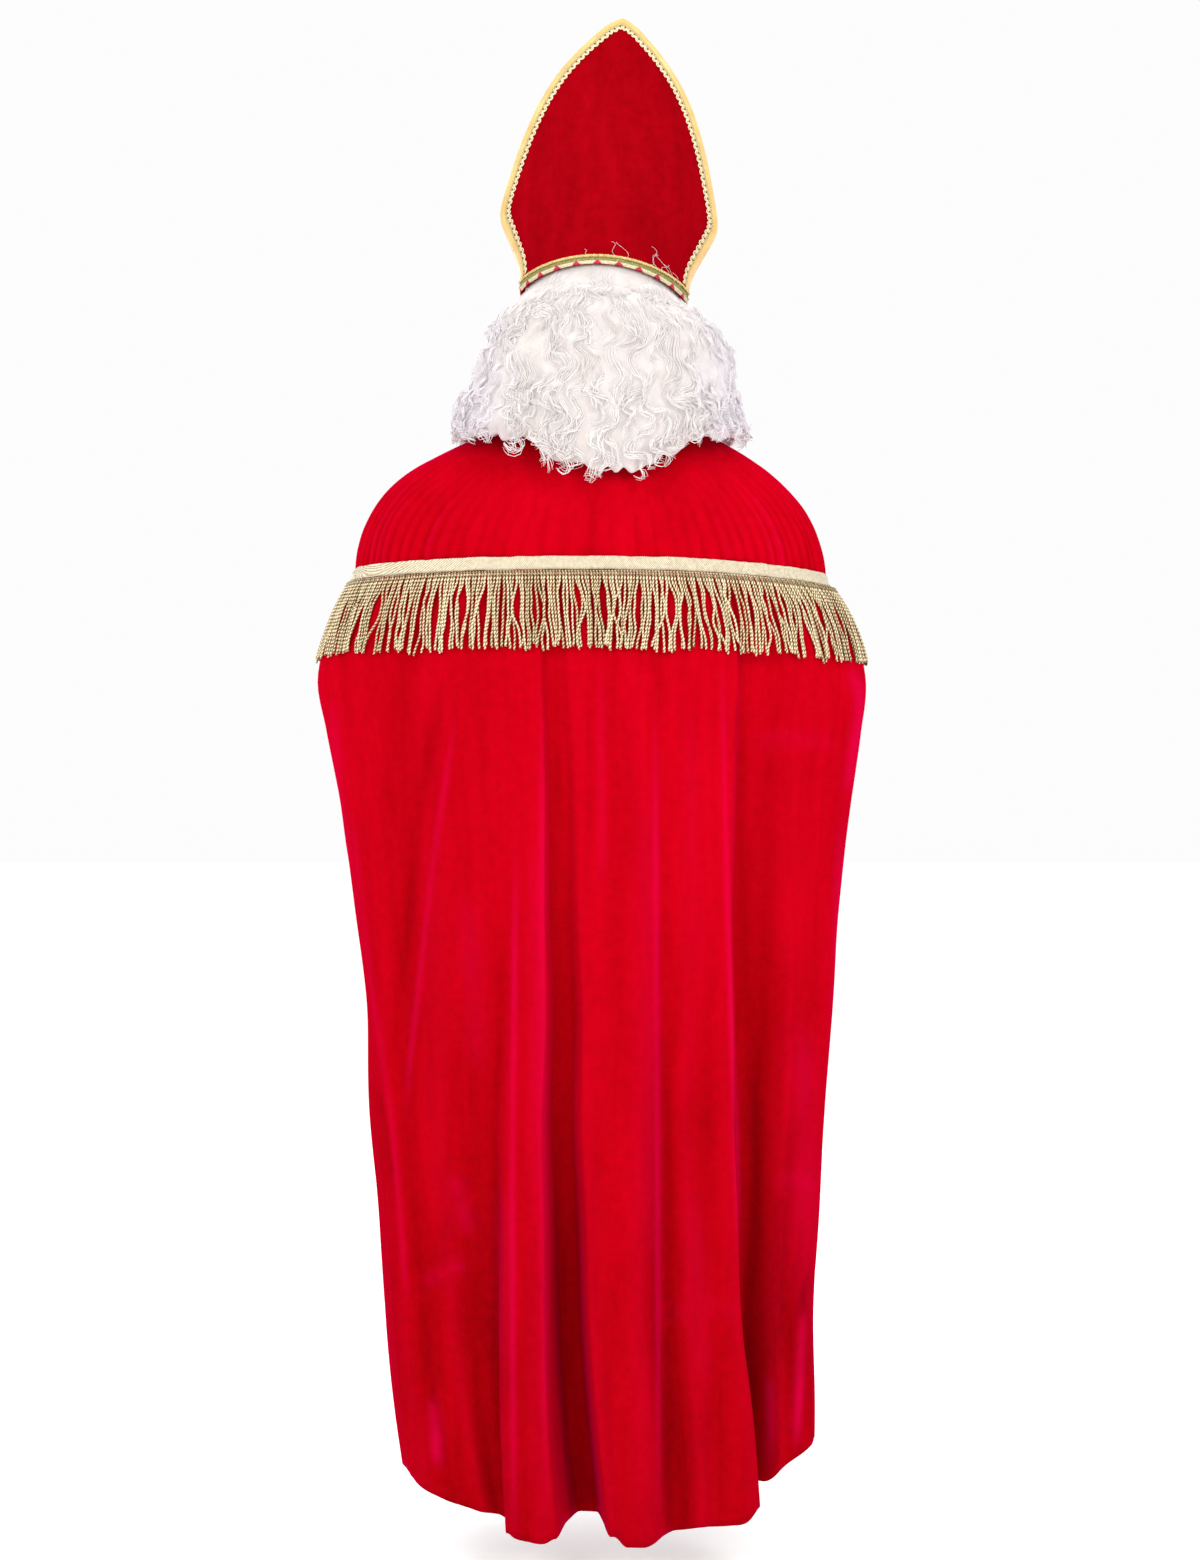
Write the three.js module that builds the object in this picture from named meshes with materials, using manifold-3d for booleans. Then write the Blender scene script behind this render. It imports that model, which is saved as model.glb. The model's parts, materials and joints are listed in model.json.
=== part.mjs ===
// A bishop's stage costume, hollow and in the form in which it is worn: a long red velvet cape with a gathered
// shoulder yoke and a band of gold fringe, a pointed mitre with gold trim, and a curly white wig.
// Millimetres, +Z up. The costume faces -Y, so the back of the cape is towards +Y and its left side is +X.
// The origin is the middle of the cape's neck opening, just below its back edge, where the cape hangs.
import * as THREE from "three";
import Module from "manifold-3d";
import { mergeVertices } from "three/addons/utils/BufferGeometryUtils.js";

const wasm = await Module();
wasm.setup();

// ---------------------------------------------------------------- driving sizes
const CLOTH = 2.0; // velvet with its backing
const SEAM = 0.28; // each edge at a seam draws back this far
const FELT = 3.0; // stiffened mitre panels
const BINDING = 1.4; // folded gold binding
const BRAID = 1.1; // sewn gold braid
const CAP = 1.6; // wig's base cap

// Neck opening of the cape
const NECK = { side: 76, back: 72, front: 70, zBack: 24, zSide: 24, zFront: -32 };
// Top edge of the fringe heading, round the shoulders
const BAND = { zBack: -180.5, zLeft: -187, zRight: -195, zFront: -190, height: 17.5 };
const FRINGE = { length: 102, thick: 4.5 };
const FRONT_EDGE_AT_NECK = 175.5; // degrees from the middle of the back

// Plan sections of the cape from the yoke seam to the hem, to the outside of the cloth.
// left and right are from the centre plane, square is the power of the superellipse.
const SECTIONS = [
  { z: -190, left: 322, right: 291, back: 150, front: 150, square: 2.4 },
  { z: -250, left: 354, right: 330, back: 157, front: 168, square: 2.25 },
  { z: -330, left: 377, right: 354, back: 162, front: 194, square: 2.1 },
  { z: -400, left: 366, right: 348, back: 163, front: 206, square: 2.05 },
  { z: -500, left: 346, right: 335, back: 163, front: 211, square: 2.05 },
  { z: -640, left: 327, right: 319, back: 162, front: 211, square: 2.05 },
  { z: -760, left: 312, right: 311, back: 161, front: 209, square: 2.05 },
  { z: -900, left: 309, right: 300, back: 161, front: 207, square: 2.05 },
  { z: -1030, left: 297, right: 293, back: 162, front: 206, square: 2.05 },
  { z: -1160, left: 288, right: 285, back: 164, front: 205, square: 2.05 },
  { z: -1290, left: 276, right: 287, back: 166, front: 205, square: 2.1 },
  { z: -1450, left: 253, right: 286, back: 168, front: 205, square: 2.1 },
];

// Every ridge and hollow that runs from the yoke seam to the hem, from the left front edge round the back to the
// right front edge. at* is the angle in degrees from the middle of the back, positive to the costume's left; in* is
// how far the cloth lies inside the section; hem is the height of the lower edge there.
const FOLDS = [
  { name: "left_front_edge", atYoke: 171, atMid: 162, atHem: 154, inYoke: 0, inMid: 4, inHem: 10, hem: -1352 },
  { name: "left_front_hollow", atYoke: 163, atMid: 151, atHem: 145, inYoke: 3, inMid: 16, inHem: 38, hem: -1350 },
  { name: "left_front_ridge", atYoke: 153, atMid: 141, atHem: 134, inYoke: 0, inMid: 1, inHem: 4, hem: -1353 },
  { name: "left_arm_hollow", atYoke: 140, atMid: 127, atHem: 121, inYoke: 3, inMid: 12, inHem: 30, hem: -1354 },
  { name: "left_arm_ridge", atYoke: 122, atMid: 113, atHem: 108, inYoke: 0, inMid: 0, inHem: 2, hem: -1352 },
  { name: "left_seam", atYoke: 99, atMid: 98, atHem: 96, inYoke: 1, inMid: 4, inHem: 9, hem: -1357 },
  { name: "left_side", atYoke: 83, atMid: 84, atHem: 82, inYoke: 0, inMid: 0, inHem: 0, hem: -1373 },
  { name: "left_edge", atYoke: 59, atMid: 67, atHem: 65, inYoke: 0, inMid: 2, inHem: 7, hem: -1396 },
  { name: "left_slant", atYoke: 34, atMid: 55, atHem: 54, inYoke: 4, inMid: 11, inHem: 34, hem: -1412 },
  { name: "left_rise", atYoke: 27.7, atMid: 41, atHem: 43.5, inYoke: 1, inMid: 2, inHem: 46, hem: -1421 },
  { name: "left_hollow", atYoke: 19, atMid: 28, atHem: 34.5, inYoke: 3, inMid: 14, inHem: 66, hem: -1431 },
  { name: "tube_a_left", atYoke: 13.6, atMid: 19.7, atHem: 30.4, inYoke: 0, inMid: 4, inHem: 16, hem: -1442 },
  { name: "tube_a_right", atYoke: 8.2, atMid: 12.4, atHem: 13.6, inYoke: 0, inMid: 1, inHem: 6, hem: -1443 },
  { name: "valley_ab", atYoke: 6.2, atMid: 9.1, atHem: 7.1, inYoke: 5, inMid: 36, inHem: 100, hem: -1424 },
  { name: "tube_b_left", atYoke: 3.2, atMid: 3.2, atHem: 0.2, inYoke: 1, inMid: 6, inHem: 14, hem: -1436 },
  { name: "tube_b_dip", atYoke: -2.5, atMid: -3.2, atHem: -3.5, inYoke: 3, inMid: 5, inHem: 3, hem: -1444 },
  { name: "tube_b_right", atYoke: -7.8, atMid: -9.1, atHem: -9.2, inYoke: 0, inMid: 0, inHem: 0, hem: -1444 },
  { name: "valley_bc", atYoke: -12.3, atMid: -15.1, atHem: -19.1, inYoke: 3, inMid: 15, inHem: 44, hem: -1435 },
  { name: "tube_c_left", atYoke: -17.7, atMid: -21.3, atHem: -25.7, inYoke: 1, inMid: 1, inHem: 18, hem: -1426 },
  { name: "tube_c_right", atYoke: -29.2, atMid: -32.5, atHem: -46.6, inYoke: 0, inMid: 0, inHem: 15, hem: -1429 },
  { name: "valley_cd", atYoke: -32.2, atMid: -40.1, atHem: -52.4, inYoke: 5, inMid: 44, inHem: 80, hem: -1388 },
  { name: "panel_d", atYoke: -43.6, atMid: -54.2, atHem: -62, inYoke: 1, inMid: 6, inHem: 22, hem: -1369 },
  { name: "right_side", atYoke: -83, atMid: -84, atHem: -80, inYoke: 0, inMid: 0, inHem: 0, hem: -1337 },
  { name: "right_seam", atYoke: -98, atMid: -98, atHem: -96, inYoke: 1, inMid: 3, inHem: 8, hem: -1339 },
  { name: "right_arm_ridge", atYoke: -120, atMid: -111, atHem: -107, inYoke: 0, inMid: 0, inHem: 0, hem: -1342 },
  { name: "right_arm_hollow", atYoke: -137, atMid: -125, atHem: -119, inYoke: 3, inMid: 14, inHem: 34, hem: -1346 },
  { name: "right_front_ridge", atYoke: -151, atMid: -139, atHem: -131, inYoke: 0, inMid: 1, inHem: 4, hem: -1345 },
  { name: "right_front_hollow", atYoke: -162, atMid: -152, atHem: -143, inYoke: 3, inMid: 14, inHem: 32, hem: -1342 },
  { name: "right_front_edge", atYoke: -171, atMid: -161, atHem: -153, inYoke: 0, inMid: 4, inHem: 10, hem: -1344 },
];
const Z_MID = -760; // height of the atMid and inMid columns

// Upright mitre in its own frame, from the level of the two rim ends: half width of a shield against height
const SHIELD = [
  { z: 0, half: 111 },
  { z: 36, half: 115 },
  { z: 72, half: 131 },
  { z: 96, half: 142.5 },
  { z: 108, half: 145 },
  { z: 122, half: 143.5 },
  { z: 150, half: 137 },
  { z: 192, half: 125.5 },
  { z: 230, half: 112.5 },
  { z: 264, half: 97.5 },
  { z: 296, half: 78.5 },
  { z: 326, half: 54.5 },
  { z: 346, half: 35 },
  { z: 358, half: 22.5 },
];
const MITRE = {
  tip: 370.5, rimDepth: 98, tipDepth: 50, sideGap: 3.4, seamTop: 108, archBack: 22, archFront: 7,
  at: [-4.5, -8, 174], rollDeg: 3.9, pitchDeg: 5.5,
};
const TRIM = { binding: 8.5, braid: 8, braidIn: 0.6, rim: 15 };

// Outer form of the hair, from inside the mitre's rim down to the curls that lie on the cape
const HAIR = [
  { zSide: 186, zBack: 210, left: 80, right: 80, back: 74, front: 80 },
  { zSide: 163, zBack: 191, left: 93, right: 94, back: 85, front: 90 },
  { zSide: 157, zBack: 182, left: 120, right: 122, back: 106, front: 92 },
  { zSide: 145, zBack: 158, left: 140, right: 142, back: 122, front: 94 },
  { zSide: 119, zBack: 124, left: 150, right: 164, back: 134, front: 96 },
  { zSide: 88, zBack: 84, left: 166, right: 178, back: 141, front: 98 },
  { zSide: 53, zBack: 40, left: 173, right: 181, back: 144, front: 100 },
  { zSide: 24, zBack: -8, left: 189, right: 188, back: 148, front: 104 },
  { zSide: -8, zBack: -72, left: 196, right: 194, back: 151, front: 106 },
];
const HAIR_FRONT = 118; // degrees from the middle of the back, where the hair leaves the face open
const HEAD = { x: -3, y: -10, z: 130, half: 79, depth: 101, up: 114 }; // inside of the wig's cap
const CAP_EDGE = { front: -96, brow: 186, back: 78, nape: 52 }; // the cap's edge slopes from the hairline to the nape

// ---------------------------------------------------------------- small helpers
const rad = (d) => (d * Math.PI) / 180;
const mix = (a, b, t) => a + (b - a) * t;
const smooth = (a, b, x) => {
  const t = Math.min(1, Math.max(0, (x - a) / (b - a)));
  return t * t * (3 - 2 * t);
};
const V = (x, y, z) => new THREE.Vector3(x, y, z);

// Smooth curve through the rows of a table (Catmull-Rom on uneven steps), by one of its columns
function column(table, key, x, by = "z") {
  const up = table[0][by] < table[table.length - 1][by];
  const rows = up ? table : [...table].reverse();
  if (x <= rows[0][by]) return rows[0][key];
  if (x >= rows[rows.length - 1][by]) return rows[rows.length - 1][key];
  let i = 0;
  while (x > rows[i + 1][by]) i++;
  const slope = (j) => {
    if (j <= 0 || j >= rows.length - 1) return null;
    return (rows[j + 1][key] - rows[j - 1][key]) / (rows[j + 1][by] - rows[j - 1][by]);
  };
  const h = rows[i + 1][by] - rows[i][by];
  const d = (rows[i + 1][key] - rows[i][key]) / h;
  const m0 = slope(i) ?? d, m1 = slope(i + 1) ?? d;
  const t = (x - rows[i][by]) / h, t2 = t * t, t3 = t2 * t;
  return (2 * t3 - 3 * t2 + 1) * rows[i][key] + (t3 - 2 * t2 + t) * h * m0 +
    (-2 * t3 + 3 * t2) * rows[i + 1][key] + (t3 - t2) * h * m1;
}

// Point and outward direction of a plan section at an angle from the middle of the back
function planPoint(s, deg) {
  const sn = Math.sin(rad(deg)), cs = Math.cos(rad(deg)), p = 2 / s.square;
  const cx = (s.left - s.right) / 2, a = (s.left + s.right) / 2, b = cs >= 0 ? s.back : s.front;
  const x = Math.sign(sn) * Math.abs(sn) ** p, y = Math.sign(cs) * Math.abs(cs) ** p;
  const nx = Math.sign(x) * Math.abs(x) ** (s.square - 1) / a, ny = Math.sign(y) * Math.abs(y) ** (s.square - 1) / b;
  const n = Math.hypot(nx, ny) || 1;
  return { x: cx + a * x, y: b * y, nx: nx / n, ny: ny / n };
}
const section = (z) => Object.fromEntries(
  ["left", "right", "back", "front", "square"].map((k) => [k, column(SECTIONS, k, z)]));

// Heights round the shoulders
function round4(deg, back, left, right, front) {
  const s2 = Math.sin(rad(deg)) ** 2, side = deg >= 0 ? left : right;
  return Math.abs(deg) <= 90 ? mix(back, side, s2) : mix(front, side, s2);
}
const bandTop = (deg) => round4(deg, BAND.zBack, BAND.zLeft, BAND.zRight, BAND.zFront);
const seamZ = (deg) => bandTop(deg) - BAND.height / 2;

// A fold table's value at a fractional row: linear in angle, and a soft wave in depth from ridge to hollow
function foldAt(c) {
  const i = Math.min(FOLDS.length - 2, Math.max(0, Math.floor(c))), t = c - i, w = (1 - Math.cos(Math.PI * t)) / 2;
  const a = FOLDS[i], b = FOLDS[i + 1];
  const f = {};
  for (const k of ["atYoke", "atMid", "atHem"]) f[k] = mix(a[k], b[k], t);
  for (const k of ["inYoke", "inMid", "inHem", "hem"]) f[k] = mix(a[k], b[k], w);
  return f;
}
// Through three values at the yoke seam, the middle height and the hem
function three(yoke, mid, hem, z, zTop, zHem) {
  const u = (z - zTop) / (zHem - zTop), m = (Z_MID - zTop) / (zHem - zTop);
  return yoke * (u - m) * (u - 1) / m + mid * u * (u - 1) / (m * (m - 1)) + hem * u * (u - m) / (1 - m);
}
// The cape's body: c along the fold table, v from the yoke seam (0) to the hem (1), out from the cloth's face
function bodyPoint(c, v, out = 0) {
  const f = foldAt(c), zTop = seamZ(f.atYoke), z = mix(zTop, f.hem, v);
  const deg = three(f.atYoke, f.atMid, f.atHem, z, zTop, f.hem);
  const u = (z - zTop) / (f.hem - zTop);
  const depth = Math.max(0, three(f.inYoke, f.inMid, f.inHem, z, zTop, f.hem)) * smooth(-0.02, 0.06, u) + f.inYoke * (1 - smooth(-0.02, 0.06, u));
  const p = planPoint(section(z), deg);
  return V(p.x - p.nx * (depth - out), p.y - p.ny * (depth - out), z);
}
// Depth of the folds at the yoke seam, by angle
function seamDepth(deg) {
  for (let i = 0; i < FOLDS.length - 1; i++)
    if (deg <= FOLDS[i].atYoke && deg >= FOLDS[i + 1].atYoke)
      return foldAt(i + (FOLDS[i].atYoke - deg) / (FOLDS[i].atYoke - FOLDS[i + 1].atYoke)).inYoke;
  return 0;
}

// The yoke: from the neck ring to the seam ring along one curve in each direction
function neckRing(deg) {
  const s = { left: NECK.side, right: NECK.side, back: NECK.back, front: NECK.front, square: 2 };
  const p = planPoint(s, deg), s2 = Math.sin(rad(deg)) ** 2;
  return { ...p, z: Math.abs(deg) <= 90 ? mix(NECK.zBack, NECK.zSide, s2) : mix(NECK.zFront, NECK.zSide, s2) };
}
const SHOULDER = {
  reachBack: 62, dropBack: 56, riseBack: 72,
  reachFront: 52, dropFront: 45, riseFront: 60,
  reachLeft: 185, dropLeft: 21.7, riseLeft: 126,
  reachRight: 160, dropRight: 23.6, riseRight: 112,
  lean: 4,
};
function yokePoint(deg, v, out = 0) {
  const s2 = Math.sin(rad(deg)) ** 2, back = Math.abs(deg) <= 90, H = SHOULDER;
  const reach = mix(back ? H.reachBack : H.reachFront, deg >= 0 ? H.reachLeft : H.reachRight, s2);
  const drop = mix(back ? H.dropBack : H.dropFront, deg >= 0 ? H.dropLeft : H.dropRight, s2);
  const rise = mix(back ? H.riseBack : H.riseFront, deg >= 0 ? H.riseLeft : H.riseRight, s2);
  // towards the front edges the neck ring closes a little further than the seam ring
  const neckDeg = deg * mix(1, FRONT_EDGE_AT_NECK / FOLDS[0].atYoke, smooth(120, 171, Math.abs(deg)));
  const n = neckRing(neckDeg), zb = seamZ(deg), q = planPoint(section(zb), deg);
  const far = Math.hypot(q.x - n.x, q.y - n.y);
  const P = [
    [0, n.z],
    [reach * Math.cos(rad(drop)), n.z - reach * Math.sin(rad(drop))],
    [far - rise * Math.sin(rad(H.lean)), zb + rise * Math.cos(rad(H.lean))],
    [far, zb],
  ];
  const B = (t) => [(1 - t) ** 3, 3 * t * (1 - t) ** 2, 3 * t * t * (1 - t), t ** 3];
  const at = (t, k) => B(t).reduce((sum, w, i) => sum + w * P[i][k], 0);
  const r = at(v, 0), z = at(v, 1), e = 1e-3;
  const dr = at(v + e, 0) - at(v - e, 0), dz = at(v + e, 1) - at(v - e, 1), dl = Math.hypot(dr, dz) || 1;
  const ux = (q.x - n.x) / far, uy = (q.y - n.y) / far;
  // outward direction: square to the curve, turned towards the plan section's own normal near the seam
  const w = smooth(0.3, 1, v), hx = mix(ux, q.nx, w), hy = mix(uy, q.ny, w), hl = Math.hypot(hx, hy) || 1;
  const nr = -dz / dl, nz = dr / dl;
  const N = V((hx / hl) * nr, (hy / hl) * nr, nz).normalize();
  const dip = yokeDip(deg, v);
  return { p: V(n.x + ux * r, n.y + uy * r, z).addScaledVector(N, out - dip), N };
}
// The yoke's own soft fold in the middle of the back, which passes into the seam's folds under the heading
const YOKE_FOLD = { at: -0.5, half: 4.2, deep: 5 };
function yokeDip(deg, v) {
  const own = YOKE_FOLD.deep * Math.exp(-(((deg - YOKE_FOLD.at) / (YOKE_FOLD.half / 1.6)) ** 2)) * smooth(0.3, 0.7, v);
  return mix(own, seamDepth(deg), smooth(0.93, 1, v));
}

// ---------------------------------------------------------------- closed walls from two grids of points
function signedVolume(pos, idx) {
  let s = 0;
  for (let i = 0; i < idx.length; i += 3) {
    const [a, b, c] = [idx[i], idx[i + 1], idx[i + 2]].map((k) => V(pos[3 * k], pos[3 * k + 1], pos[3 * k + 2]));
    s += a.dot(b.clone().cross(c)) / 6;
  }
  return s;
}
// outer and inner are rows of points that face each other; their rims are joined all round
function wallFromGrids(outer, inner) {
  const R = outer.length, C = outer[0].length, pos = [], idx = [];
  for (const g of [outer, inner]) for (const row of g) for (const p of row) pos.push(p.x, p.y, p.z);
  const o = (i, j) => i * C + j, n = (i, j) => R * C + i * C + j;
  const quad = (a, b, c, d) => idx.push(a, b, c, a, c, d);
  for (let i = 0; i < R - 1; i++)
    for (let j = 0; j < C - 1; j++) {
      quad(o(i, j), o(i, j + 1), o(i + 1, j + 1), o(i + 1, j));
      quad(n(i, j), n(i + 1, j), n(i + 1, j + 1), n(i, j + 1));
    }
  for (let j = 0; j < C - 1; j++) {
    quad(o(0, j), n(0, j), n(0, j + 1), o(0, j + 1));
    quad(o(R - 1, j), o(R - 1, j + 1), n(R - 1, j + 1), n(R - 1, j));
  }
  for (let i = 0; i < R - 1; i++) {
    quad(o(i, 0), o(i + 1, 0), n(i + 1, 0), n(i, 0));
    quad(o(i, C - 1), n(i, C - 1), n(i + 1, C - 1), o(i + 1, C - 1));
  }
  if (signedVolume(pos, idx) < 0) for (let i = 0; i < idx.length; i += 3) [idx[i + 1], idx[i + 2]] = [idx[i + 2], idx[i + 1]];
  return new THREE.BufferGeometry()
    .setAttribute("position", new THREE.Float32BufferAttribute(pos, 3))
    .setIndex(idx);
}
// Draws the grid's edges back by the seam gap: [top, bottom, first column, last column]
function drawBack(grid, [top, bottom, first, last]) {
  const R = grid.length, C = grid[0].length;
  const pull = (p, q, d) => p.addScaledVector(q.clone().sub(p).normalize(), d);
  for (let j = 0; j < C; j++) {
    if (top) pull(grid[0][j], grid[1][j], top);
    if (bottom) pull(grid[R - 1][j], grid[R - 2][j], bottom);
  }
  for (let i = 0; i < R; i++) {
    if (first) pull(grid[i][0], grid[i][1], first);
    if (last) pull(grid[i][C - 1], grid[i][C - 2], last);
  }
  return grid;
}
// Surface direction at each grid point; rows in `level` stay horizontal, so that two panels meet square at a seam
function normals(grid, facing, level = []) {
  const R = grid.length, C = grid[0].length;
  return grid.map((row, i) => row.map((p, j) => {
    const du = grid[i][Math.min(C - 1, j + 1)].clone().sub(grid[i][Math.max(0, j - 1)]);
    const dv = grid[Math.min(R - 1, i + 1)][j].clone().sub(grid[Math.max(0, i - 1)][j]);
    const n = du.cross(dv);
    if (level.includes(i)) n.z = 0;
    n.normalize();
    return n.dot(facing(p)) < 0 ? n.negate() : n;
  }));
}
const shifted = (grid, ns, d) => grid.map((row, i) => row.map((p, j) => p.clone().addScaledVector(ns[i][j], d)));
const steps = (a, b, n) => Array.from({ length: n + 1 }, (_, i) => mix(a, b, i / n));

const made = new THREE.Group();
const COLOURS = {
  velvet: { color: 0xd0001c, roughness: 0.85, metalness: 0 },
  gold: { color: 0xd9bf78, roughness: 0.45, metalness: 0.3 },
  goldBinding: { color: 0xe9b955, roughness: 0.4, metalness: 0.25 },
  hair: { color: 0xf2eeea, roughness: 0.6, metalness: 0 },
  cap: { color: 0xe6dccd, roughness: 0.9, metalness: 0 },
  brass: { color: 0xc9a648, roughness: 0.3, metalness: 0.9 },
};
function add(name, geometry, look, group = made) {
  const m = new THREE.Mesh(geometry, new THREE.MeshStandardMaterial(COLOURS[look]));
  m.name = name;
  group.add(m);
  return m;
}

// ---------------------------------------------------------------- cape
const outward = (p) => V(p.x, p.y, 0).normalize();
const row = (name) => FOLDS.findIndex((f) => f.name === name);
// Columns along the fold table: the ridges and hollows themselves, and points on the slopes between them
function foldColumns(from, to) {
  const cs = [];
  for (let i = from; i < to; i++) {
    const deep = Math.abs(FOLDS[i].inHem - FOLDS[i + 1].inHem), wide = Math.abs(FOLDS[i].atHem - FOLDS[i + 1].atHem);
    cs.push(...(deep > 60 ? [i, i + 0.25, i + 0.5, i + 0.75] : deep > 17 || wide > 12 ? [i, i + 0.35, i + 0.65] : wide > 4 ? [i, i + 0.5] : [i]));
  }
  return [...cs, to];
}
const BODY_ROWS = [0, 0.045, 0.085, 0.125, 0.18, 0.27, 0.4, 0.55, 0.7, 0.86, 1];
function bodyPanel(name, from, to, edges) {
  // one more column past each end, so that two panels share the direction of the cloth at their seam
  const cs = foldColumns(row(from), row(to)), a = cs[0] > 0 ? 1 : 0, b = row(to) < FOLDS.length - 1 ? 1 : 0;
  const wide = [...(a ? [cs[0] - 0.35] : []), ...cs, ...(b ? [row(to) + 0.35] : [])];
  const full = BODY_ROWS.map((v) => wide.map((c) => bodyPoint(c, v)));
  const ns = normals(full, outward, [0]).map((r) => r.slice(a, a + cs.length));
  const grid = full.map((r) => r.slice(a, a + cs.length));
  drawBack(grid, [SEAM, 0, ...edges]);
  add(name, wallFromGrids(grid, shifted(grid, ns, -CLOTH)), "velvet");
}
bodyPanel("cape_back", "left_seam", "right_seam", [SEAM, SEAM]);
bodyPanel("cape_front_left", "left_front_edge", "left_seam", [0, SEAM]);
bodyPanel("cape_front_right", "right_seam", "right_front_edge", [SEAM, 0]);

const YOKE_SEAM = 97; // shoulder line, just in front of the side
const YOKE_ROWS = [0, 0.16, 0.33, 0.5, 0.67, 0.82, 0.93, 1];
function yokePanel(name, degs, edges) {
  const grid = YOKE_ROWS.map((v) => degs.map((d) => yokePoint(d, v).p));
  const ns = YOKE_ROWS.map((v, i) => degs.map((d) => {
    const n = yokePoint(d, v).N.clone();
    if (i === YOKE_ROWS.length - 1) n.z = 0;
    return n.normalize();
  }));
  drawBack(grid, [0, SEAM, ...edges]);
  add(name, wallFromGrids(grid, shifted(grid, ns, -CLOTH)), "velvet");
}
yokePanel("yoke_back", [YOKE_SEAM, 84, 72, 60, 48, 36, 27, 19, 12, 7, 3.4, -0.5, -4.4, -8, -13, -20, -28, -37, -48, -60, -72, -84, -YOKE_SEAM], [SEAM, SEAM]);
yokePanel("yoke_front_left", [171, 162, 152, 141, 129, 117, 106, YOKE_SEAM], [0, SEAM]);
yokePanel("yoke_front_right", [-YOKE_SEAM, -106, -117, -129, -141, -152, -162, -171], [SEAM, 0]);

// Fringe heading and fringe lie on the smooth form outside the folds
const HEADING_HALF = [9, 18, 28, 38, 48, 57, 65, 72, 78.5, 84.5, 90.5, 97, 104, 112, 121, 131, 142, 152, 162, 170.6];
const HEADING_DEGS = [...HEADING_HALF.map((d) => -d).reverse(), 0, ...HEADING_HALF];
function onCape(deg, down, out) {
  const z = bandTop(deg) - down;
  if (z > seamZ(deg)) { // still on the yoke: find the height on its curve
    let lo = 0.6, hi = 1;
    for (let k = 0; k < 30; k++) (yokeHeight(deg, (lo + hi) / 2) > z ? (lo = (lo + hi) / 2) : (hi = (lo + hi) / 2));
    const y = yokePoint(deg, lo);
    return y.p.clone().addScaledVector(y.N, out + yokeDip(deg, lo));
  }
  const p = planPoint(section(z), deg);
  return V(p.x + p.nx * out, p.y + p.ny * out, z);
}
const yokeHeight = (deg, v) => yokePoint(deg, v).p.z;
add("fringe_heading", wallFromGrids(
  [0, BAND.height].map((d) => HEADING_DEGS.map((a) => onCape(a, d, 2.6))),
  [0, BAND.height].map((d) => HEADING_DEGS.map((a) => onCape(a, d, 0.9)))), "gold");
{
  const top = BAND.height + 0.35, downs = [0, 0.3, 0.65, 1].map((t) => top + FRINGE.length * t);
  add("fringe", wallFromGrids(
    downs.map((d) => HEADING_DEGS.map((a) => onCape(a, d, 1.8 + FRINGE.thick))),
    downs.map((d) => HEADING_DEGS.map((a) => onCape(a, d, 1.8)))), "gold");
}

// ---------------------------------------------------------------- solids cut and joined
function solid(geometry, matrix) {
  let g = geometry.index ? geometry.toNonIndexed() : geometry.clone();
  g.deleteAttribute("normal");
  g.deleteAttribute("uv");
  if (matrix) g.applyMatrix4(matrix);
  g = mergeVertices(g, 1e-4);
  return new wasm.Manifold(new wasm.Mesh({
    numProp: 3,
    vertProperties: new Float32Array(g.attributes.position.array),
    triVerts: new Uint32Array(g.index.array),
  }));
}
function geometryOf(manifold) {
  const m = manifold.getMesh(), n = m.numProp, pos = new Float32Array(m.numVert * 3);
  for (let i = 0; i < m.numVert; i++) for (let k = 0; k < 3; k++) pos[3 * i + k] = m.vertProperties[n * i + k];
  return new THREE.BufferGeometry()
    .setAttribute("position", new THREE.BufferAttribute(pos, 3))
    .setIndex(new THREE.BufferAttribute(new Uint32Array(m.triVerts), 1));
}
const at = (x, y, z) => new THREE.Matrix4().makeTranslation(x, y, z);

// Hook and bar at the throat, standing on the two front edges of the yoke
{
  // a frame that lies on the cloth at the throat: u across the gap, w out from the cloth, h along it
  const l = yokePoint(171, 0.07), r = yokePoint(-171, 0.07), u = V(1, 0, 0);
  const w = l.N.clone().add(r.N).setX(0).normalize();
  const M = new THREE.Matrix4().makeBasis(u, w, u.clone().cross(w)).setPosition(l.p.clone().add(r.p).multiplyScalar(0.5));
  const clear = 1.4; // the neck edge rolls up under the plates
  const slab = (u0, u1, w0, w1, half) => solid(new THREE.BoxGeometry(u1 - u0, w1 - w0, 2 * half),
    M.clone().multiply(at((u0 + u1) / 2, (w0 + w1) / 2 + clear, 0)));
  const hook = [
    slab(8, 22, 0.9, 2.2, 6), slab(8, 9.4, 0.9, 6.1, 3.5), slab(-9.2, 9.4, 4.8, 6.1, 3.5),
    slab(-9.2, -8, 1.0, 6.1, 3.5), slab(-9.2, -4.9, 1.0, 2.2, 3.5),
  ].reduce((a, b) => a.add(b));
  const bar = slab(-20, -5.4, 2.7, 4.3, 6.4).subtract(slab(-18, -7.3, 2.5, 4.5, 4.4))
    .add(slab(-21, -17, 0.9, 4.3, 6)).add(slab(-22, -11.5, 0.9, 2.2, 6));
  add("throat_hook", geometryOf(hook), "brass");
  add("throat_bar", geometryOf(bar), "brass");
}

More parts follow.
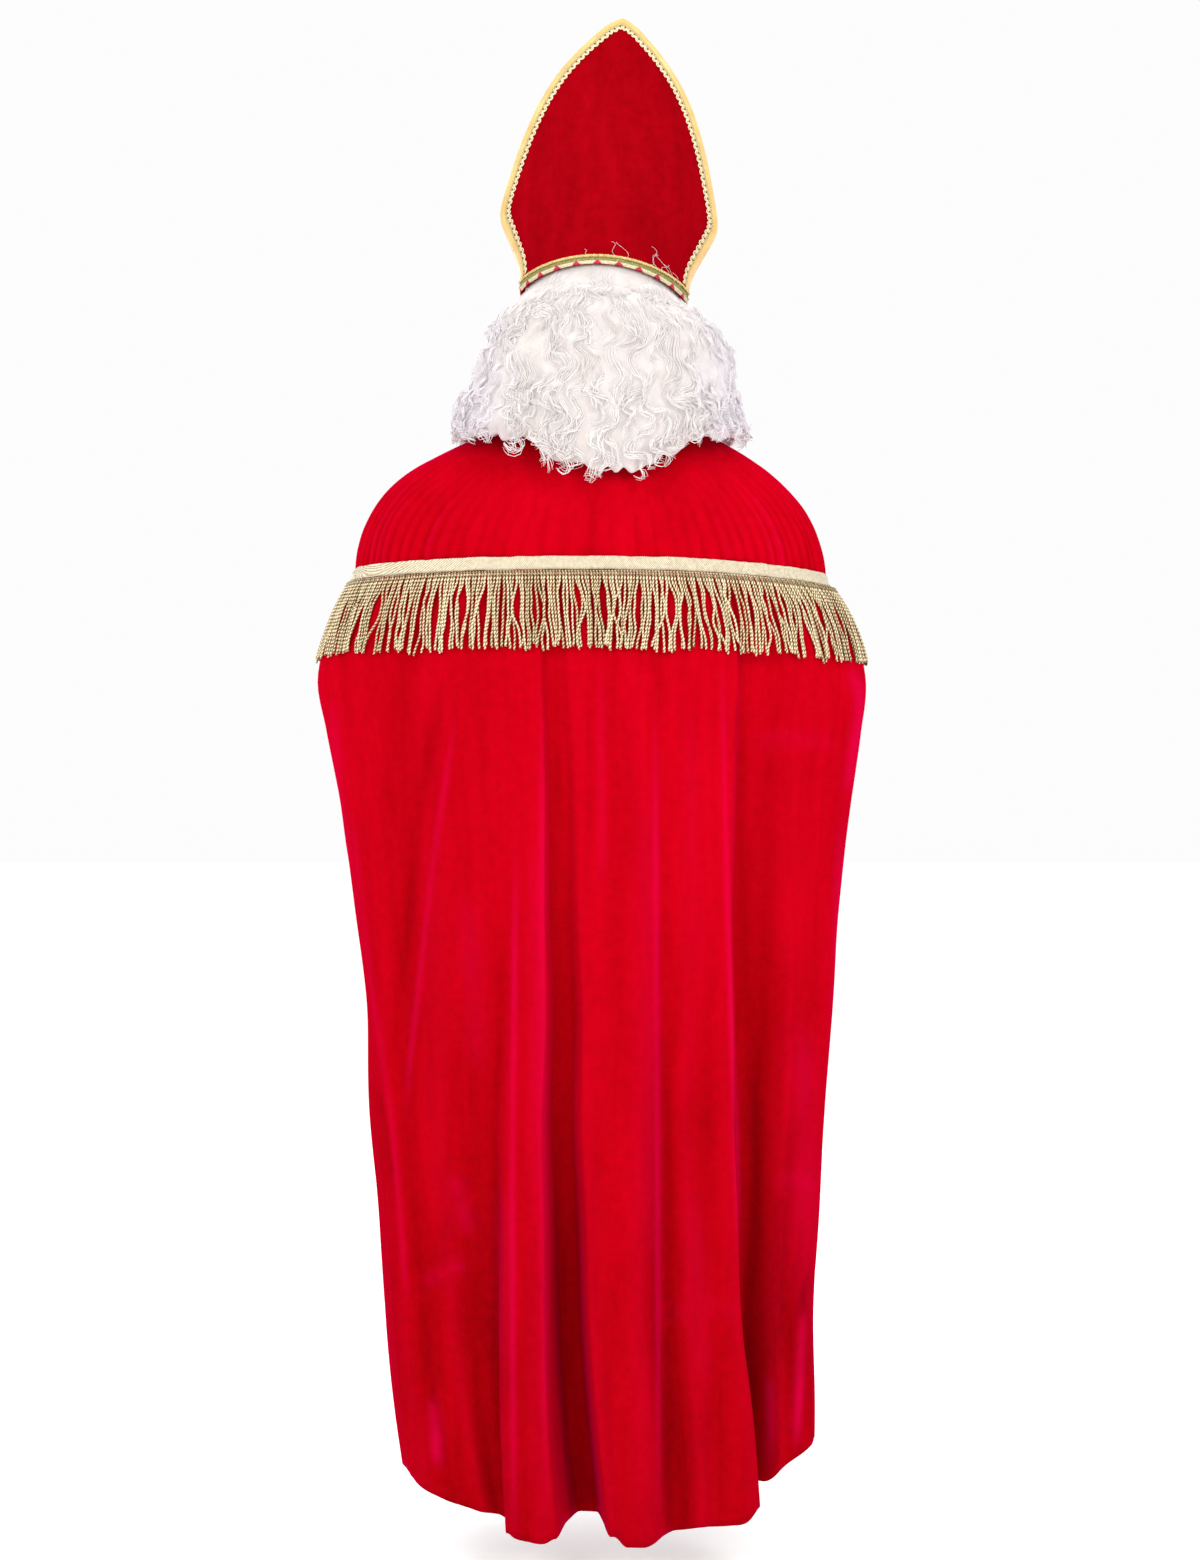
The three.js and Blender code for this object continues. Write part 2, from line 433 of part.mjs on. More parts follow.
// ---------------------------------------------------------------- mitre
const mitre = new THREE.Group();
mitre.position.set(...MITRE.at);
mitre.rotation.set(rad(MITRE.pitchDeg), rad(-MITRE.rollDeg), 0, "YXZ");
made.add(mitre);
const LAST = SHIELD[SHIELD.length - 1];
const halfWidth = (z) => z >= MITRE.tip ? 0
  : z > LAST.z ? LAST.half * ((MITRE.tip - z) / (MITRE.tip - LAST.z)) ** 0.8 : column(SHIELD, "half", z);
// A shield's outer face: t across from -1 to 1, z up; side is 1 for the back shield and -1 for the front
function shieldDepth(t, z) {
  const u = z / MITRE.tip, mid = mix(MITRE.rimDepth, MITRE.tipDepth, u);
  const above = Math.max(0, (z - MITRE.seamTop) / (MITRE.tip - MITRE.seamTop));
  const edge = mix(MITRE.sideGap, MITRE.tipDepth, above ** 0.85);
  const power = mix(0.56, 0.86, smooth(0, MITRE.seamTop, z));
  return edge + (mid - edge) * Math.max(0, 1 - t * t) ** power;
}
function shieldPoint(side, t, z, out = 0) {
  const e = 0.5, w = halfWidth(z), f = (tt, zz) => V(tt * Math.max(halfWidth(zz), 0.01), side * shieldDepth(tt, zz), zz);
  const p = f(t, z);
  if (!out) return p;
  const tc = Math.min(0.97, Math.max(-0.97, t)), zc = Math.min(MITRE.tip - 12, Math.max(2, z));
  const du = f(tc + 0.01, zc).sub(f(tc - 0.01, zc)), dv = f(tc, zc + e).sub(f(tc, zc - e));
  const n = du.cross(dv).normalize();
  if (n.y * side < 0) n.negate();
  return p.addScaledVector(n, out);
}
// The lower edge arches up in the middle
const arch = (side, f) => (side > 0 ? MITRE.archBack : MITRE.archFront) * (1 - f * f);
const SHIELD_Z = [0, TRIM.rim + 0.5, 42, 74, 96, 110, 126, 156, 194, 232, 266, 298, 326, 348, MITRE.tip];
const INSETS = [0, TRIM.binding, TRIM.binding + 0.4, TRIM.binding + 0.4 + TRIM.braid];
const ACROSS = [0.24, 0.5, 0.76, 1];
// One half of a shield, edge to centre line, as rows up the outline. Columns run parallel to the outline as far as
// the inside of the braid, so that binding and braid lie on the shield's own points.
function halfShield(side, sx) {
  return SHIELD_Z.map((z) => {
    const e = 3, w = halfWidth(z), tip = z === MITRE.tip;
    const dw = (halfWidth(Math.min(MITRE.tip - 1, z + e)) - halfWidth(Math.max(0, z - e))) / (Math.min(MITRE.tip - 1, z + e) - Math.max(0, z - e));
    const l = Math.hypot(1, dw), rimRow = z <= TRIM.rim + 0.5;
    const pts = INSETS.map((d) => tip ? [0, z - (d * Math.hypot(1, 1.3)) / 1.3] : rimRow ? [w - d, z] : [w - d / l, z + (d * dw) / l]);
    const [xi, zi] = pts[pts.length - 1];
    const zc = z <= MITRE.seamTop + 4 ? z : mix(MITRE.seamTop + 4, MITRE.tip - 50, (z - MITRE.seamTop - 4) / (MITRE.tip - MITRE.seamTop - 4));
    for (const f of ACROSS) pts.push([xi * (1 - f), mix(zi, zc, f)]);
    return pts.map(([x, zz]) => {
      const lift = arch(side, x / w || 0) * Math.max(0, 1 - z / 100);
      return V(sx * x, side * shieldDepth(Math.min(1, x / Math.max(1, halfWidth(zz))), zz), zz + lift);
    });
  });
}
// Both halves as one sheet of points with shared centre points, and each point's outward direction
function shieldSheet(side) {
  const L = halfShield(side, 1), R = halfShield(side, -1), rows = L.length, cols = L[0].length;
  const sum = (g, o) => normals(g, (p) => V(o * 0.2, side, 0));
  const nl = sum(L, 1), nr = sum(R, -1);
  for (let i = 0; i < rows; i++)
    for (let j = 0; j < cols; j++) if (i === rows - 1 || j === cols - 1) { // on the centre line
      nl[i][j].setX(0).normalize();
      nr[i][j].copy(nl[i][j]);
    }
  return { L, R, nl, nr, rows, cols };
}
// Wall on some of the sheet's rows and columns, from one height over it to another
function shieldWall(sheet, [r0, r1], [c0, c1], lo, hi, [top, bottom, edge, inner] = [0, 0, 0, 0]) {
  const half = (g, n, d) => {
    const out = [];
    for (let i = r0; i <= r1; i++) {
      const r = [];
      for (let j = c0; j <= c1; j++) r.push(g[i][j].clone().addScaledVector(n[i][j], d));
      out.push(r);
    }
    return drawBack(out, [bottom, top, edge, inner]);
  };
  const pos = [], key = new Map(), idx = [];
  const id = (p) => {
    const k = [p.x, p.y, p.z].map((v) => Math.round(v * 1e4)).join();
    if (!key.has(k)) { key.set(k, pos.length / 3); pos.push(p.x, p.y, p.z); }
    return key.get(k);
  };
  const tri = (a, b, c, flip) => { // skips facets that the centre line closes up
    const [i, j, k] = [a, b, c].map(id);
    if (i !== j && j !== k && k !== i) idx.push(...(flip ? [i, k, j] : [i, j, k]));
  };
  const onCentre = (p, q) => Math.abs(p.x) < 1e-6 && Math.abs(q.x) < 1e-6;
  for (const [g, n, flip] of [[sheet.L, sheet.nl, false], [sheet.R, sheet.nr, true]]) {
    const O = half(g, n, hi), I = half(g, n, lo), R = O.length, C = O[0].length;
    const quad = (a, b, c, d) => { tri(a, b, c, flip); tri(a, c, d, flip); };
    for (let i = 0; i < R - 1; i++) for (let j = 0; j < C - 1; j++) {
      quad(O[i][j], O[i][j + 1], O[i + 1][j + 1], O[i + 1][j]);
      quad(I[i][j], I[i + 1][j], I[i + 1][j + 1], I[i][j + 1]);
    }
    for (let j = 0; j < C - 1; j++) {
      if (!onCentre(O[0][j], O[0][j + 1])) quad(O[0][j], I[0][j], I[0][j + 1], O[0][j + 1]);
      if (!onCentre(O[R - 1][j], O[R - 1][j + 1])) quad(O[R - 1][j], O[R - 1][j + 1], I[R - 1][j + 1], I[R - 1][j]);
    }
    for (let i = 0; i < R - 1; i++) {
      if (!onCentre(O[i][0], O[i + 1][0])) quad(O[i][0], O[i + 1][0], I[i + 1][0], I[i][0]);
      if (!onCentre(O[i][C - 1], O[i + 1][C - 1])) quad(O[i][C - 1], I[i][C - 1], I[i + 1][C - 1], O[i + 1][C - 1]);
    }
  }
  if (signedVolume(pos, idx) < 0) for (let i = 0; i < idx.length; i += 3) [idx[i + 1], idx[i + 2]] = [idx[i + 2], idx[i + 1]];
  return new THREE.BufferGeometry().setAttribute("position", new THREE.Float32BufferAttribute(pos, 3)).setIndex(idx);
}
const LIFT = 0.4; // trim clears the panel under it
for (const [name, side] of [["back", 1], ["front", -1]]) {
  const sheet = shieldSheet(side), last = sheet.rows - 1, centre = sheet.cols - 1;
  add("mitre_" + name, shieldWall(sheet, [0, last], [0, centre], -FELT, 0), "velvet", mitre);
  add("mitre_rim_" + name, shieldWall(sheet, [0, 1], [0, centre], LIFT, LIFT + 1.8, [0.15, 0, 0, 0]), "gold", mitre);
  add("mitre_binding_" + name, shieldWall(sheet, [1, last], [0, 1], LIFT, LIFT + BINDING, [0, 0.25, 0, 0]), "goldBinding", mitre);
  add("mitre_braid_" + name, shieldWall(sheet, [1, last], [2, 3], LIFT, LIFT + BRAID, [0, 0.25, 0, 0]), "gold", mitre);
}
// Crown of soft cloth, folded into a valley between the two shields
{
  const valley = MITRE.seamTop + 8, xs = [-1, -0.9, -0.72, -0.5, -0.26, 0, 0.26, 0.5, 0.72, 0.9, 1].map((t) => t * 127);
  const top = (x) => { // height at which the shield is that wide, above the side seams
    let lo = MITRE.seamTop + 8, hi = MITRE.tip - 16;
    for (let k = 0; k < 30; k++) (halfWidth((lo + hi) / 2) - 10 > Math.abs(x) ? (lo = (lo + hi) / 2) : (hi = (lo + hi) / 2));
    return lo;
  };
  const line = (side, u, drop) => xs.map((x) => {
    const zt = top(x), z = mix(valley, zt, u);
    const room = shieldDepth(Math.min(0.99, (Math.abs(x) + 3) / halfWidth(z)), z) - FELT - 2.6;
    return V(x, side * Math.min(mix(2, room, u), room) - side * drop, z - (u === 0 ? drop : 0));
  });
  const rows = [[1, 1], [1, 0.66], [1, 0.33], [1, 0], [-1, 0], [-1, 0.33], [-1, 0.66], [-1, 1]];
  add("mitre_crown", wallFromGrids(rows.map(([sd, u]) => line(sd, u, 0)), rows.map(([sd, u]) => line(sd, u, -1.2))), "velvet", mitre);
}

// ---------------------------------------------------------------- wig
{
  const egg = (grow) => {
    const g = new THREE.SphereGeometry(1, 18, 10);
    return solid(g, new THREE.Matrix4().compose(V(HEAD.x, HEAD.y, HEAD.z), new THREE.Quaternion().setFromEuler(new THREE.Euler(Math.PI / 2, 0, 0)),
      V(HEAD.half + grow, HEAD.up + grow, HEAD.depth + grow)));
  };
  const slope = Math.atan2(CAP_EDGE.nape - CAP_EDGE.brow, CAP_EDGE.back - CAP_EDGE.front);
  const below = new THREE.Matrix4().makeTranslation(0, CAP_EDGE.front, CAP_EDGE.brow)
    .multiply(new THREE.Matrix4().makeRotationX(slope)).multiply(at(0, 0, -300));
  const cap = egg(CAP).subtract(egg(0)).subtract(solid(new THREE.BoxGeometry(600, 1200, 600), below));
  add("wig_cap", geometryOf(cap), "cap");

  // Hair: its outer form, and inside it the cap, then the room over the shoulders, down to the cape
  const degs = steps(-HAIR_FRONT, HAIR_FRONT, 20);
  const rows = HAIR.map((h) => degs.map((d) => {
    const s2 = Math.sin(rad(Math.min(90, Math.abs(d)))) ** 2;
    const p = planPoint({ left: h.left, right: h.right, back: h.back, front: h.front, square: 2.1 }, d);
    return V(p.x, p.y, mix(h.zBack, h.zSide, s2));
  }));
  const room = CAP + 3.4;
  const inside = HAIR.map((h, i) => degs.map((d, j) => {
    const o = rows[i][j], z = o.z, k = Math.max(0, z - HEAD.z) / (HEAD.up + room), low = smooth(96, 20, z);
    const shrink = Math.sqrt(Math.max(0.02, 1 - k * k));
    const a = (HEAD.half + room) * shrink + 16 * low, b = (HEAD.depth + room) * shrink;
    const p = planPoint({ left: a + HEAD.x, right: a - HEAD.x, back: b + HEAD.y + 8 * low, front: b - HEAD.y, square: 2 }, d);
    const q = V(p.x, p.y, z);
    if (i === HAIR.length - 1) { // the lowest edge stands just off the yoke
      let lo = 0, hi = 1;
      for (let n = 0; n < 30; n++) (yokeHeight(d, (lo + hi) / 2) > z + 8 ? (lo = (lo + hi) / 2) : (hi = (lo + hi) / 2));
      const y = yokePoint(d, lo), r = y.p.addScaledVector(y.N, 9);
      if (Math.hypot(r.x, r.y) > Math.hypot(q.x, q.y)) q.set(r.x, r.y, Math.max(z, r.z));
    }
    return q;
  }));
  add("wig_hair", wallFromGrids(rows, inside), "hair");
}

export default made;
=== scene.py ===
# A bishop's stage costume seen from behind: red velvet cape with a gathered yoke and gold fringe, gold-trimmed
# mitre and curly white wig. Sizes in the tables are millimetres in the frame of the model; meshes are in metres.
import bpy, json, math
import numpy as np
from mathutils import Vector, Matrix
from mathutils.bvhtree import BVHTree

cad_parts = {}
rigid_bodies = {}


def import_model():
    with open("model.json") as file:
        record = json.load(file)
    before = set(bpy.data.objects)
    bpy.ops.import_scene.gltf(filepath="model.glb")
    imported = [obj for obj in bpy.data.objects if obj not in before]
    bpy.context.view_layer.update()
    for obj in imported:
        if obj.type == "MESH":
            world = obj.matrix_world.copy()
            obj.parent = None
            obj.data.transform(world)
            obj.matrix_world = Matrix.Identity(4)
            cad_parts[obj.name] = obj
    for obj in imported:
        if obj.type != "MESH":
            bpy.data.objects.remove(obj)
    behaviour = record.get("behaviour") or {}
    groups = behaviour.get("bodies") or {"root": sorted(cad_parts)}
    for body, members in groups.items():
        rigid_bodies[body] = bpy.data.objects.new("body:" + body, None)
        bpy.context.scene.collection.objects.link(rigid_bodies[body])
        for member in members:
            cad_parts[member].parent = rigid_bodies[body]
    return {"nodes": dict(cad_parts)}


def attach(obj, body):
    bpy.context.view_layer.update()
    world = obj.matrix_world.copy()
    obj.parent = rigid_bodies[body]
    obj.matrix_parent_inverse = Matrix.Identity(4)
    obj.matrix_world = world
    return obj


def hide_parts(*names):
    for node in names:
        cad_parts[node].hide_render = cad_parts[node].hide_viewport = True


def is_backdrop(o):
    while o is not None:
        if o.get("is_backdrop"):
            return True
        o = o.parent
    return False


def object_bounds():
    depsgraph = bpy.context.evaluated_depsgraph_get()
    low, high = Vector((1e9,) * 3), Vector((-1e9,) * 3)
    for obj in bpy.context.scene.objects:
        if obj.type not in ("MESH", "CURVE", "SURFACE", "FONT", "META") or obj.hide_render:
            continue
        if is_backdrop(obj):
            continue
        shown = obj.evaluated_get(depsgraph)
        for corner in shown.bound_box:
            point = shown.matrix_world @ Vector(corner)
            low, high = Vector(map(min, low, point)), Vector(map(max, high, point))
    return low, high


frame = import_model()
cad_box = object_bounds()
MM = 0.001
RNG = np.random.default_rng(61206)

# ------------------------------------------------------------------------------------------------ sizes
CLOTH = 2.0
SEAM = 0.05
FELT = 3.0
NECK = dict(side=76, back=72, front=70, zBack=24, zSide=24, zFront=-32)
BAND = dict(zBack=-180.5, zLeft=-187, zRight=-195, zFront=-190, height=17.5)
FRONT_EDGE_AT_NECK = 175.5
SHOULDER = dict(reachBack=62, dropBack=56, riseBack=72, reachFront=52, dropFront=45, riseFront=60,
                reachLeft=185, dropLeft=21.7, riseLeft=126, reachRight=160, dropRight=23.6, riseRight=112, lean=4)
#                 z     left right back front square
SECTIONS = np.array([
    [-190, 322, 291, 150, 150, 2.4], [-250, 354, 330, 157, 168, 2.25], [-330, 377, 354, 162, 194, 2.1],
    [-400, 366, 348, 163, 206, 2.05], [-500, 346, 335, 163, 211, 2.05], [-640, 327, 319, 162, 211, 2.05],
    [-760, 312, 311, 161, 209, 2.05], [-900, 309, 300, 161, 207, 2.05], [-1030, 297, 293, 162, 206, 2.05],
    [-1160, 288, 285, 164, 205, 2.05], [-1290, 276, 287, 166, 205, 2.1], [-1450, 253, 286, 168, 205, 2.1]], float)
#   name, angle at yoke, middle, hem; depth at yoke, middle, hem; height of the hem
FOLDS = [
    ("left_front_edge", 171, 162, 154, 0, 4, 10, -1352), ("left_front_hollow", 163, 151, 145, 3, 16, 38, -1350),
    ("left_front_ridge", 153, 141, 134, 0, 1, 4, -1353), ("left_arm_hollow", 140, 127, 121, 3, 12, 30, -1354),
    ("left_arm_ridge", 122, 113, 108, 0, 0, 2, -1352), ("left_seam", 99, 98, 96, 1, 4, 9, -1357),
    ("left_side", 83, 84, 82, 0, 0, 0, -1373), ("left_edge", 59, 67, 65, 0, 2, 7, -1396),
    ("left_slant", 34, 55, 54, 4, 11, 34, -1412), ("left_rise", 27.7, 41, 43.5, 1, 2, 46, -1421),
    ("left_hollow", 19, 28, 34.5, 3, 14, 66, -1431), ("tube_a_left", 13.6, 19.7, 30.4, 0, 4, 16, -1442),
    ("tube_a_right", 8.2, 12.4, 14.8, 0, 1, 6, -1443), ("valley_ab", 6.2, 9.1, 7.1, 5, 36, 100, -1424),
    ("tube_b_left", 3.2, 3.2, 0.2, 1, 6, 14, -1436), ("tube_b_dip", -2.5, -3.2, -3.5, 3, 5, 3, -1444),
    ("tube_b_right", -7.8, -9.1, -9.2, 0, 0, 0, -1444), ("valley_bc", -12.3, -15.1, -19.1, 3, 15, 44, -1435),
    ("tube_c_left", -17.7, -21.3, -25.7, 1, 1, 18, -1426), ("tube_c_right", -29.2, -32.5, -46.6, 0, 0, 15, -1429),
    ("valley_cd", -32.2, -40.1, -52.4, 5, 44, 80, -1388), ("panel_d", -43.6, -54.2, -62, 1, 6, 22, -1369),
    ("right_side", -83, -84, -80, 0, 0, 0, -1337), ("right_seam", -98, -98, -96, 1, 3, 8, -1339),
    ("right_arm_ridge", -120, -111, -107, 0, 0, 0, -1342), ("right_arm_hollow", -137, -125, -119, 3, 14, 34, -1346),
    ("right_front_ridge", -151, -139, -131, 0, 1, 4, -1345), ("right_front_hollow", -162, -152, -143, 3, 14, 32, -1342),
    ("right_front_edge", -171, -161, -153, 0, 4, 10, -1344)]
FOLD_NAMES = [f[0] for f in FOLDS]
FT = np.array([f[1:] for f in FOLDS], float)
Z_MID = -760
WIDE = [FOLD_NAMES.index(n) for n in ("valley_ab", "left_hollow", "valley_cd")]  # hollows with a broad floor
SHIELD = np.array([[0, 111], [36, 115], [72, 131], [96, 142.5], [108, 145], [122, 143.5], [150, 137], [192, 125.5],
                   [230, 112.5], [264, 97.5], [296, 78.5], [326, 54.5], [346, 35], [358, 22.5]], float)
MITRE = dict(tip=370.5, rimDepth=98, tipDepth=50, sideGap=3.4, seamTop=108, archBack=22, archFront=7,
             at=(-4.5, -8, 174), roll=3.9, pitch=5.5)
TRIM = dict(binding=8.5, braid=8, rim=15)
#                zSide zBack left right back front
HAIR = np.array([[186, 210, 80, 80, 74, 80], [163, 191, 93, 94, 85, 90], [157, 182, 120, 122, 106, 92],
                 [145, 158, 140, 142, 122, 94], [119, 124, 150, 164, 134, 96], [88, 84, 166, 178, 141, 98],
                 [53, 40, 173, 181, 144, 100], [24, -8, 189, 188, 148, 104], [-8, -72, 196, 194, 151, 106]], float)
HEAD = dict(x=-3, y=-10, z=130, half=79, depth=101, up=114)
CAP_EDGE = dict(front=-96, brow=186, back=78, nape=52)
HAIR_FRONT = 118


# ------------------------------------------------------------------------------------------------ numbers
def mix(a, b, t):
    return a + (b - a) * t


def smooth(a, b, x):
    t = np.clip((np.asarray(x, float) - a) / (b - a), 0, 1)
    return t * t * (3 - 2 * t)


def column(xs, ys, x):
    """Catmull-Rom through uneven rows, the same curve as the model's."""
    xs, ys = np.asarray(xs, float), np.asarray(ys, float)
    if xs[0] > xs[-1]:
        xs, ys = xs[::-1], ys[::-1]
    x = np.clip(np.asarray(x, float), xs[0], xs[-1])
    i = np.clip(np.searchsorted(xs, x, side="right") - 1, 0, len(xs) - 2)
    d = np.diff(ys) / np.diff(xs)
    m = np.empty(len(xs))
    m[1:-1] = (ys[2:] - ys[:-2]) / (xs[2:] - xs[:-2])
    m[0], m[-1] = d[0], d[-1]
    h = xs[i + 1] - xs[i]
    t = (x - xs[i]) / h
    t2, t3 = t * t, t * t * t
    return (2 * t3 - 3 * t2 + 1) * ys[i] + (t3 - 2 * t2 + t) * h * m[i] + (-2 * t3 + 3 * t2) * ys[i + 1] + (t3 - t2) * h * m[i + 1]


def lattice(i, j, seed):
    v = np.sin(i * 127.1 + j * 311.7 + seed * 74.7) * 43758.5453
    return (v - np.floor(v)) * 2 - 1


def noise(x, y, seed=0):
    """Smooth value noise from -1 to 1."""
    x, y = np.asarray(x, float), np.asarray(y, float)
    i, j = np.floor(x), np.floor(y)
    u, v = x - i, y - j
    u, v = u * u * (3 - 2 * u), v * v * (3 - 2 * v)
    return (lattice(i, j, seed) * (1 - u) + lattice(i + 1, j, seed) * u) * (1 - v) + \
           (lattice(i, j + 1, seed) * (1 - u) + lattice(i + 1, j + 1, seed) * u) * v


def unit(v):
    return v / np.maximum(np.linalg.norm(v, axis=-1, keepdims=True), 1e-9)


# ------------------------------------------------------------------------------------------------ the cape's form
def section(z):
    return [column(SECTIONS[:, 0], SECTIONS[:, k], z) for k in range(1, 6)]


def plan_point(s, deg):
    left, right, back, front, sq = s
    sn, cs = np.sin(np.radians(deg)), np.cos(np.radians(deg))
    p = 2 / sq
    cx, a, b = (left - right) / 2, (left + right) / 2, np.where(cs >= 0, back, front)
    x, y = np.sign(sn) * np.abs(sn) ** p, np.sign(cs) * np.abs(cs) ** p
    nx, ny = np.sign(x) * np.abs(x) ** (sq - 1) / a, np.sign(y) * np.abs(y) ** (sq - 1) / b
    n = np.maximum(np.hypot(nx, ny), 1e-9)
    return cx + a * x, b * y, nx / n, ny / n


def round4(deg, back, left, right, front):
    s2 = np.sin(np.radians(deg)) ** 2
    side = np.where(np.asarray(deg) >= 0, left, right)
    return np.where(np.abs(deg) <= 90, mix(back, side, s2), mix(front, side, s2))


def band_top(deg):
    return round4(deg, BAND["zBack"], BAND["zLeft"], BAND["zRight"], BAND["zFront"])


def seam_z(deg):
    return band_top(deg) - BAND["height"] / 2


def fold_at(c):
    i = np.clip(np.floor(c), 0, len(FT) - 2).astype(int)
    t = c - i
    w = (1 - np.cos(np.pi * t)) / 2
    wide = np.isin(i + 1, WIDE), np.isin(i, WIDE)
    steep = lambda k: (1 - np.cos(np.pi * np.clip(k, 0, 1))) / 2
    w = np.where(wide[0], steep(t / 0.62), np.where(wide[1], steep((t - 0.38) / 0.62), w))
    ab = FOLD_NAMES.index("valley_ab")
    cd = FOLD_NAMES.index("valley_cd")
    w_hem = np.where(i + 1 == ab, steep(t / 0.3), np.where((i == ab) | (i == cd), steep((t - 0.7) / 0.3), np.where(i == cd + 1, t, steep(t))))
    w_hem = np.where(i == FOLD_NAMES.index("panel_d"), t, w_hem)
    a, b = FT[i], FT[i + 1]
    return [mix(a[..., k], b[..., k], t if k < 3 else w_hem if k == 6 else w) for k in range(7)]


def three(yoke, mid, hem, z, top, bottom):
    u, m = (z - top) / (bottom - top), (Z_MID - top) / (bottom - top)
    return yoke * (u - m) * (u - 1) / m + mid * u * (u - 1) / (m * (m - 1)) + hem * u * (u - m) / (1 - m)


#              fold row, columns to its right, reach, lift of the hem
HEM_CORNERS = [("tube_a_left", -0.02, 0.16, 9), ("tube_a_right", 0.0, 0.14, 8), ("tube_b_left", 0.3, 0.4, 4),
               ("tube_b_right", 0.35, 0.35, 6), ("tube_c_right", 0.02, 0.2, 22), ("left_edge", -0.4, 0.5, 5)]


def body_form(c, v):
    """Point, outward plan direction, angle and fold depth of the cape below the yoke."""
    at0, at1, at2, in0, in1, in2, hem = fold_at(c)
    for name, aside, reach, lift in HEM_CORNERS:
        hem = hem + lift * np.exp(-((c - FOLD_NAMES.index(name) - aside) / reach) ** 2)
    top = seam_z(at0)
    z = mix(top, hem, v)
    deg = three(at0, at1, at2, z, top, hem)
    u = (z - top) / (hem - top)
    k = smooth(-0.02, 0.06, u)
    depth = np.maximum(0, three(in0, in1, in2, z, top, hem)) * k + in0 * (1 - k)
    x, y, nx, ny = plan_point(section(z), deg)
    return np.stack([x - nx * depth, y - ny * depth, z], -1), np.stack([nx, ny, 0 * nx], -1), deg, depth


SEAM_DEG, SEAM_IN = None, None


def seam_depth(deg):
    global SEAM_DEG, SEAM_IN
    if SEAM_DEG is None:
        cs = np.linspace(0, len(FT) - 1, 1400)
        f = fold_at(cs)
        SEAM_DEG, SEAM_IN = f[0][::-1], f[3][::-1]
    return np.interp(deg, SEAM_DEG, SEAM_IN)


def neck_ring(deg):
    s = (NECK["side"], NECK["side"], NECK["back"], NECK["front"], 2.0 + 0 * deg)
    x, y, nx, ny = plan_point(s, deg)
    s2 = np.sin(np.radians(deg)) ** 2
    z = np.where(np.abs(deg) <= 90, mix(NECK["zBack"], NECK["zSide"], s2), mix(NECK["zFront"], NECK["zSide"], s2))
    return x, y, nx, ny, z


def yoke_form(deg, v, dip=True):
    """Point and outward direction of the yoke."""
    H = SHOULDER
    deg, v = np.broadcast_arrays(np.asarray(deg, float), np.asarray(v, float))
    s2 = np.sin(np.radians(deg)) ** 2
    back, left = np.abs(deg) <= 90, deg >= 0
    pick = lambda k: mix(np.where(back, H[k + "Back"], H[k + "Front"]), np.where(left, H[k + "Left"], H[k + "Right"]), s2)
    reach, drop, rise = pick("reach"), np.radians(pick("drop")), pick("rise")
    neck_deg = deg * mix(1, FRONT_EDGE_AT_NECK / FT[0, 0], smooth(120, 171, np.abs(deg)))
    nx_, ny_, _, _, nz_ = neck_ring(neck_deg)
    zb = seam_z(deg)
    qx, qy, qnx, qny = plan_point(section(zb), deg)
    far = np.hypot(qx - nx_, qy - ny_)
    lean = math.radians(H["lean"])
    R = [0 * far, reach * np.cos(drop), far - rise * math.sin(lean), far]
    Z = [nz_, nz_ - reach * np.sin(drop), zb + rise * math.cos(lean), zb]
    bez = lambda P, t: (1 - t) ** 3 * P[0] + 3 * t * (1 - t) ** 2 * P[1] + 3 * t * t * (1 - t) * P[2] + t ** 3 * P[3]
    e = 1e-3
    r, z = bez(R, v), bez(Z, v)
    dr, dz = bez(R, v + e) - bez(R, v - e), bez(Z, v + e) - bez(Z, v - e)
    dl = np.maximum(np.hypot(dr, dz), 1e-9)
    ux, uy = (qx - nx_) / far, (qy - ny_) / far
    w = smooth(0.3, 1, v)
    hx, hy = mix(ux, qnx, w), mix(uy, qny, w)
    hl = np.maximum(np.hypot(hx, hy), 1e-9)
    N = unit(np.stack([hx / hl * (-dz / dl), hy / hl * (-dz / dl), dr / dl], -1))
    P = np.stack([nx_ + ux * r, ny_ + uy * r, z], -1)
    if dip:
        own = 5 * np.exp(-((deg + 0.5) / (4.2 / 1.6)) ** 2) * smooth(0.3, 0.7, v)
        d = mix(own, seam_depth(deg), smooth(0.93, 1, v))
        P = P - N * d[..., None]
    return P, N


def on_cape(deg, down, out):
    """Point at a distance below the heading's top edge, on the smooth form outside the folds."""
    deg, down = np.broadcast_arrays(np.asarray(deg, float), np.asarray(down, float))
    z = band_top(deg) - down
    x, y, nx, ny = plan_point(section(z), deg)
    low = np.stack([x + nx * out, y + ny * out, z], -1)
    lo, hi = np.full(z.shape, 0.6), np.ones(z.shape)
    for _ in range(24):
        m = (lo + hi) / 2
        above = yoke_form(deg, m, dip=False)[0][..., 2] > z
        lo, hi = np.where(above, m, lo), np.where(above, hi, m)
    P, N = yoke_form(deg, lo, dip=False)
    high = P + N * (np.asarray(out)[..., None] if np.ndim(out) else out)
    return np.where((z > seam_z(deg))[..., None], high, low)


# ------------------------------------------------------------------------------------------------ meshes
MATS = {}


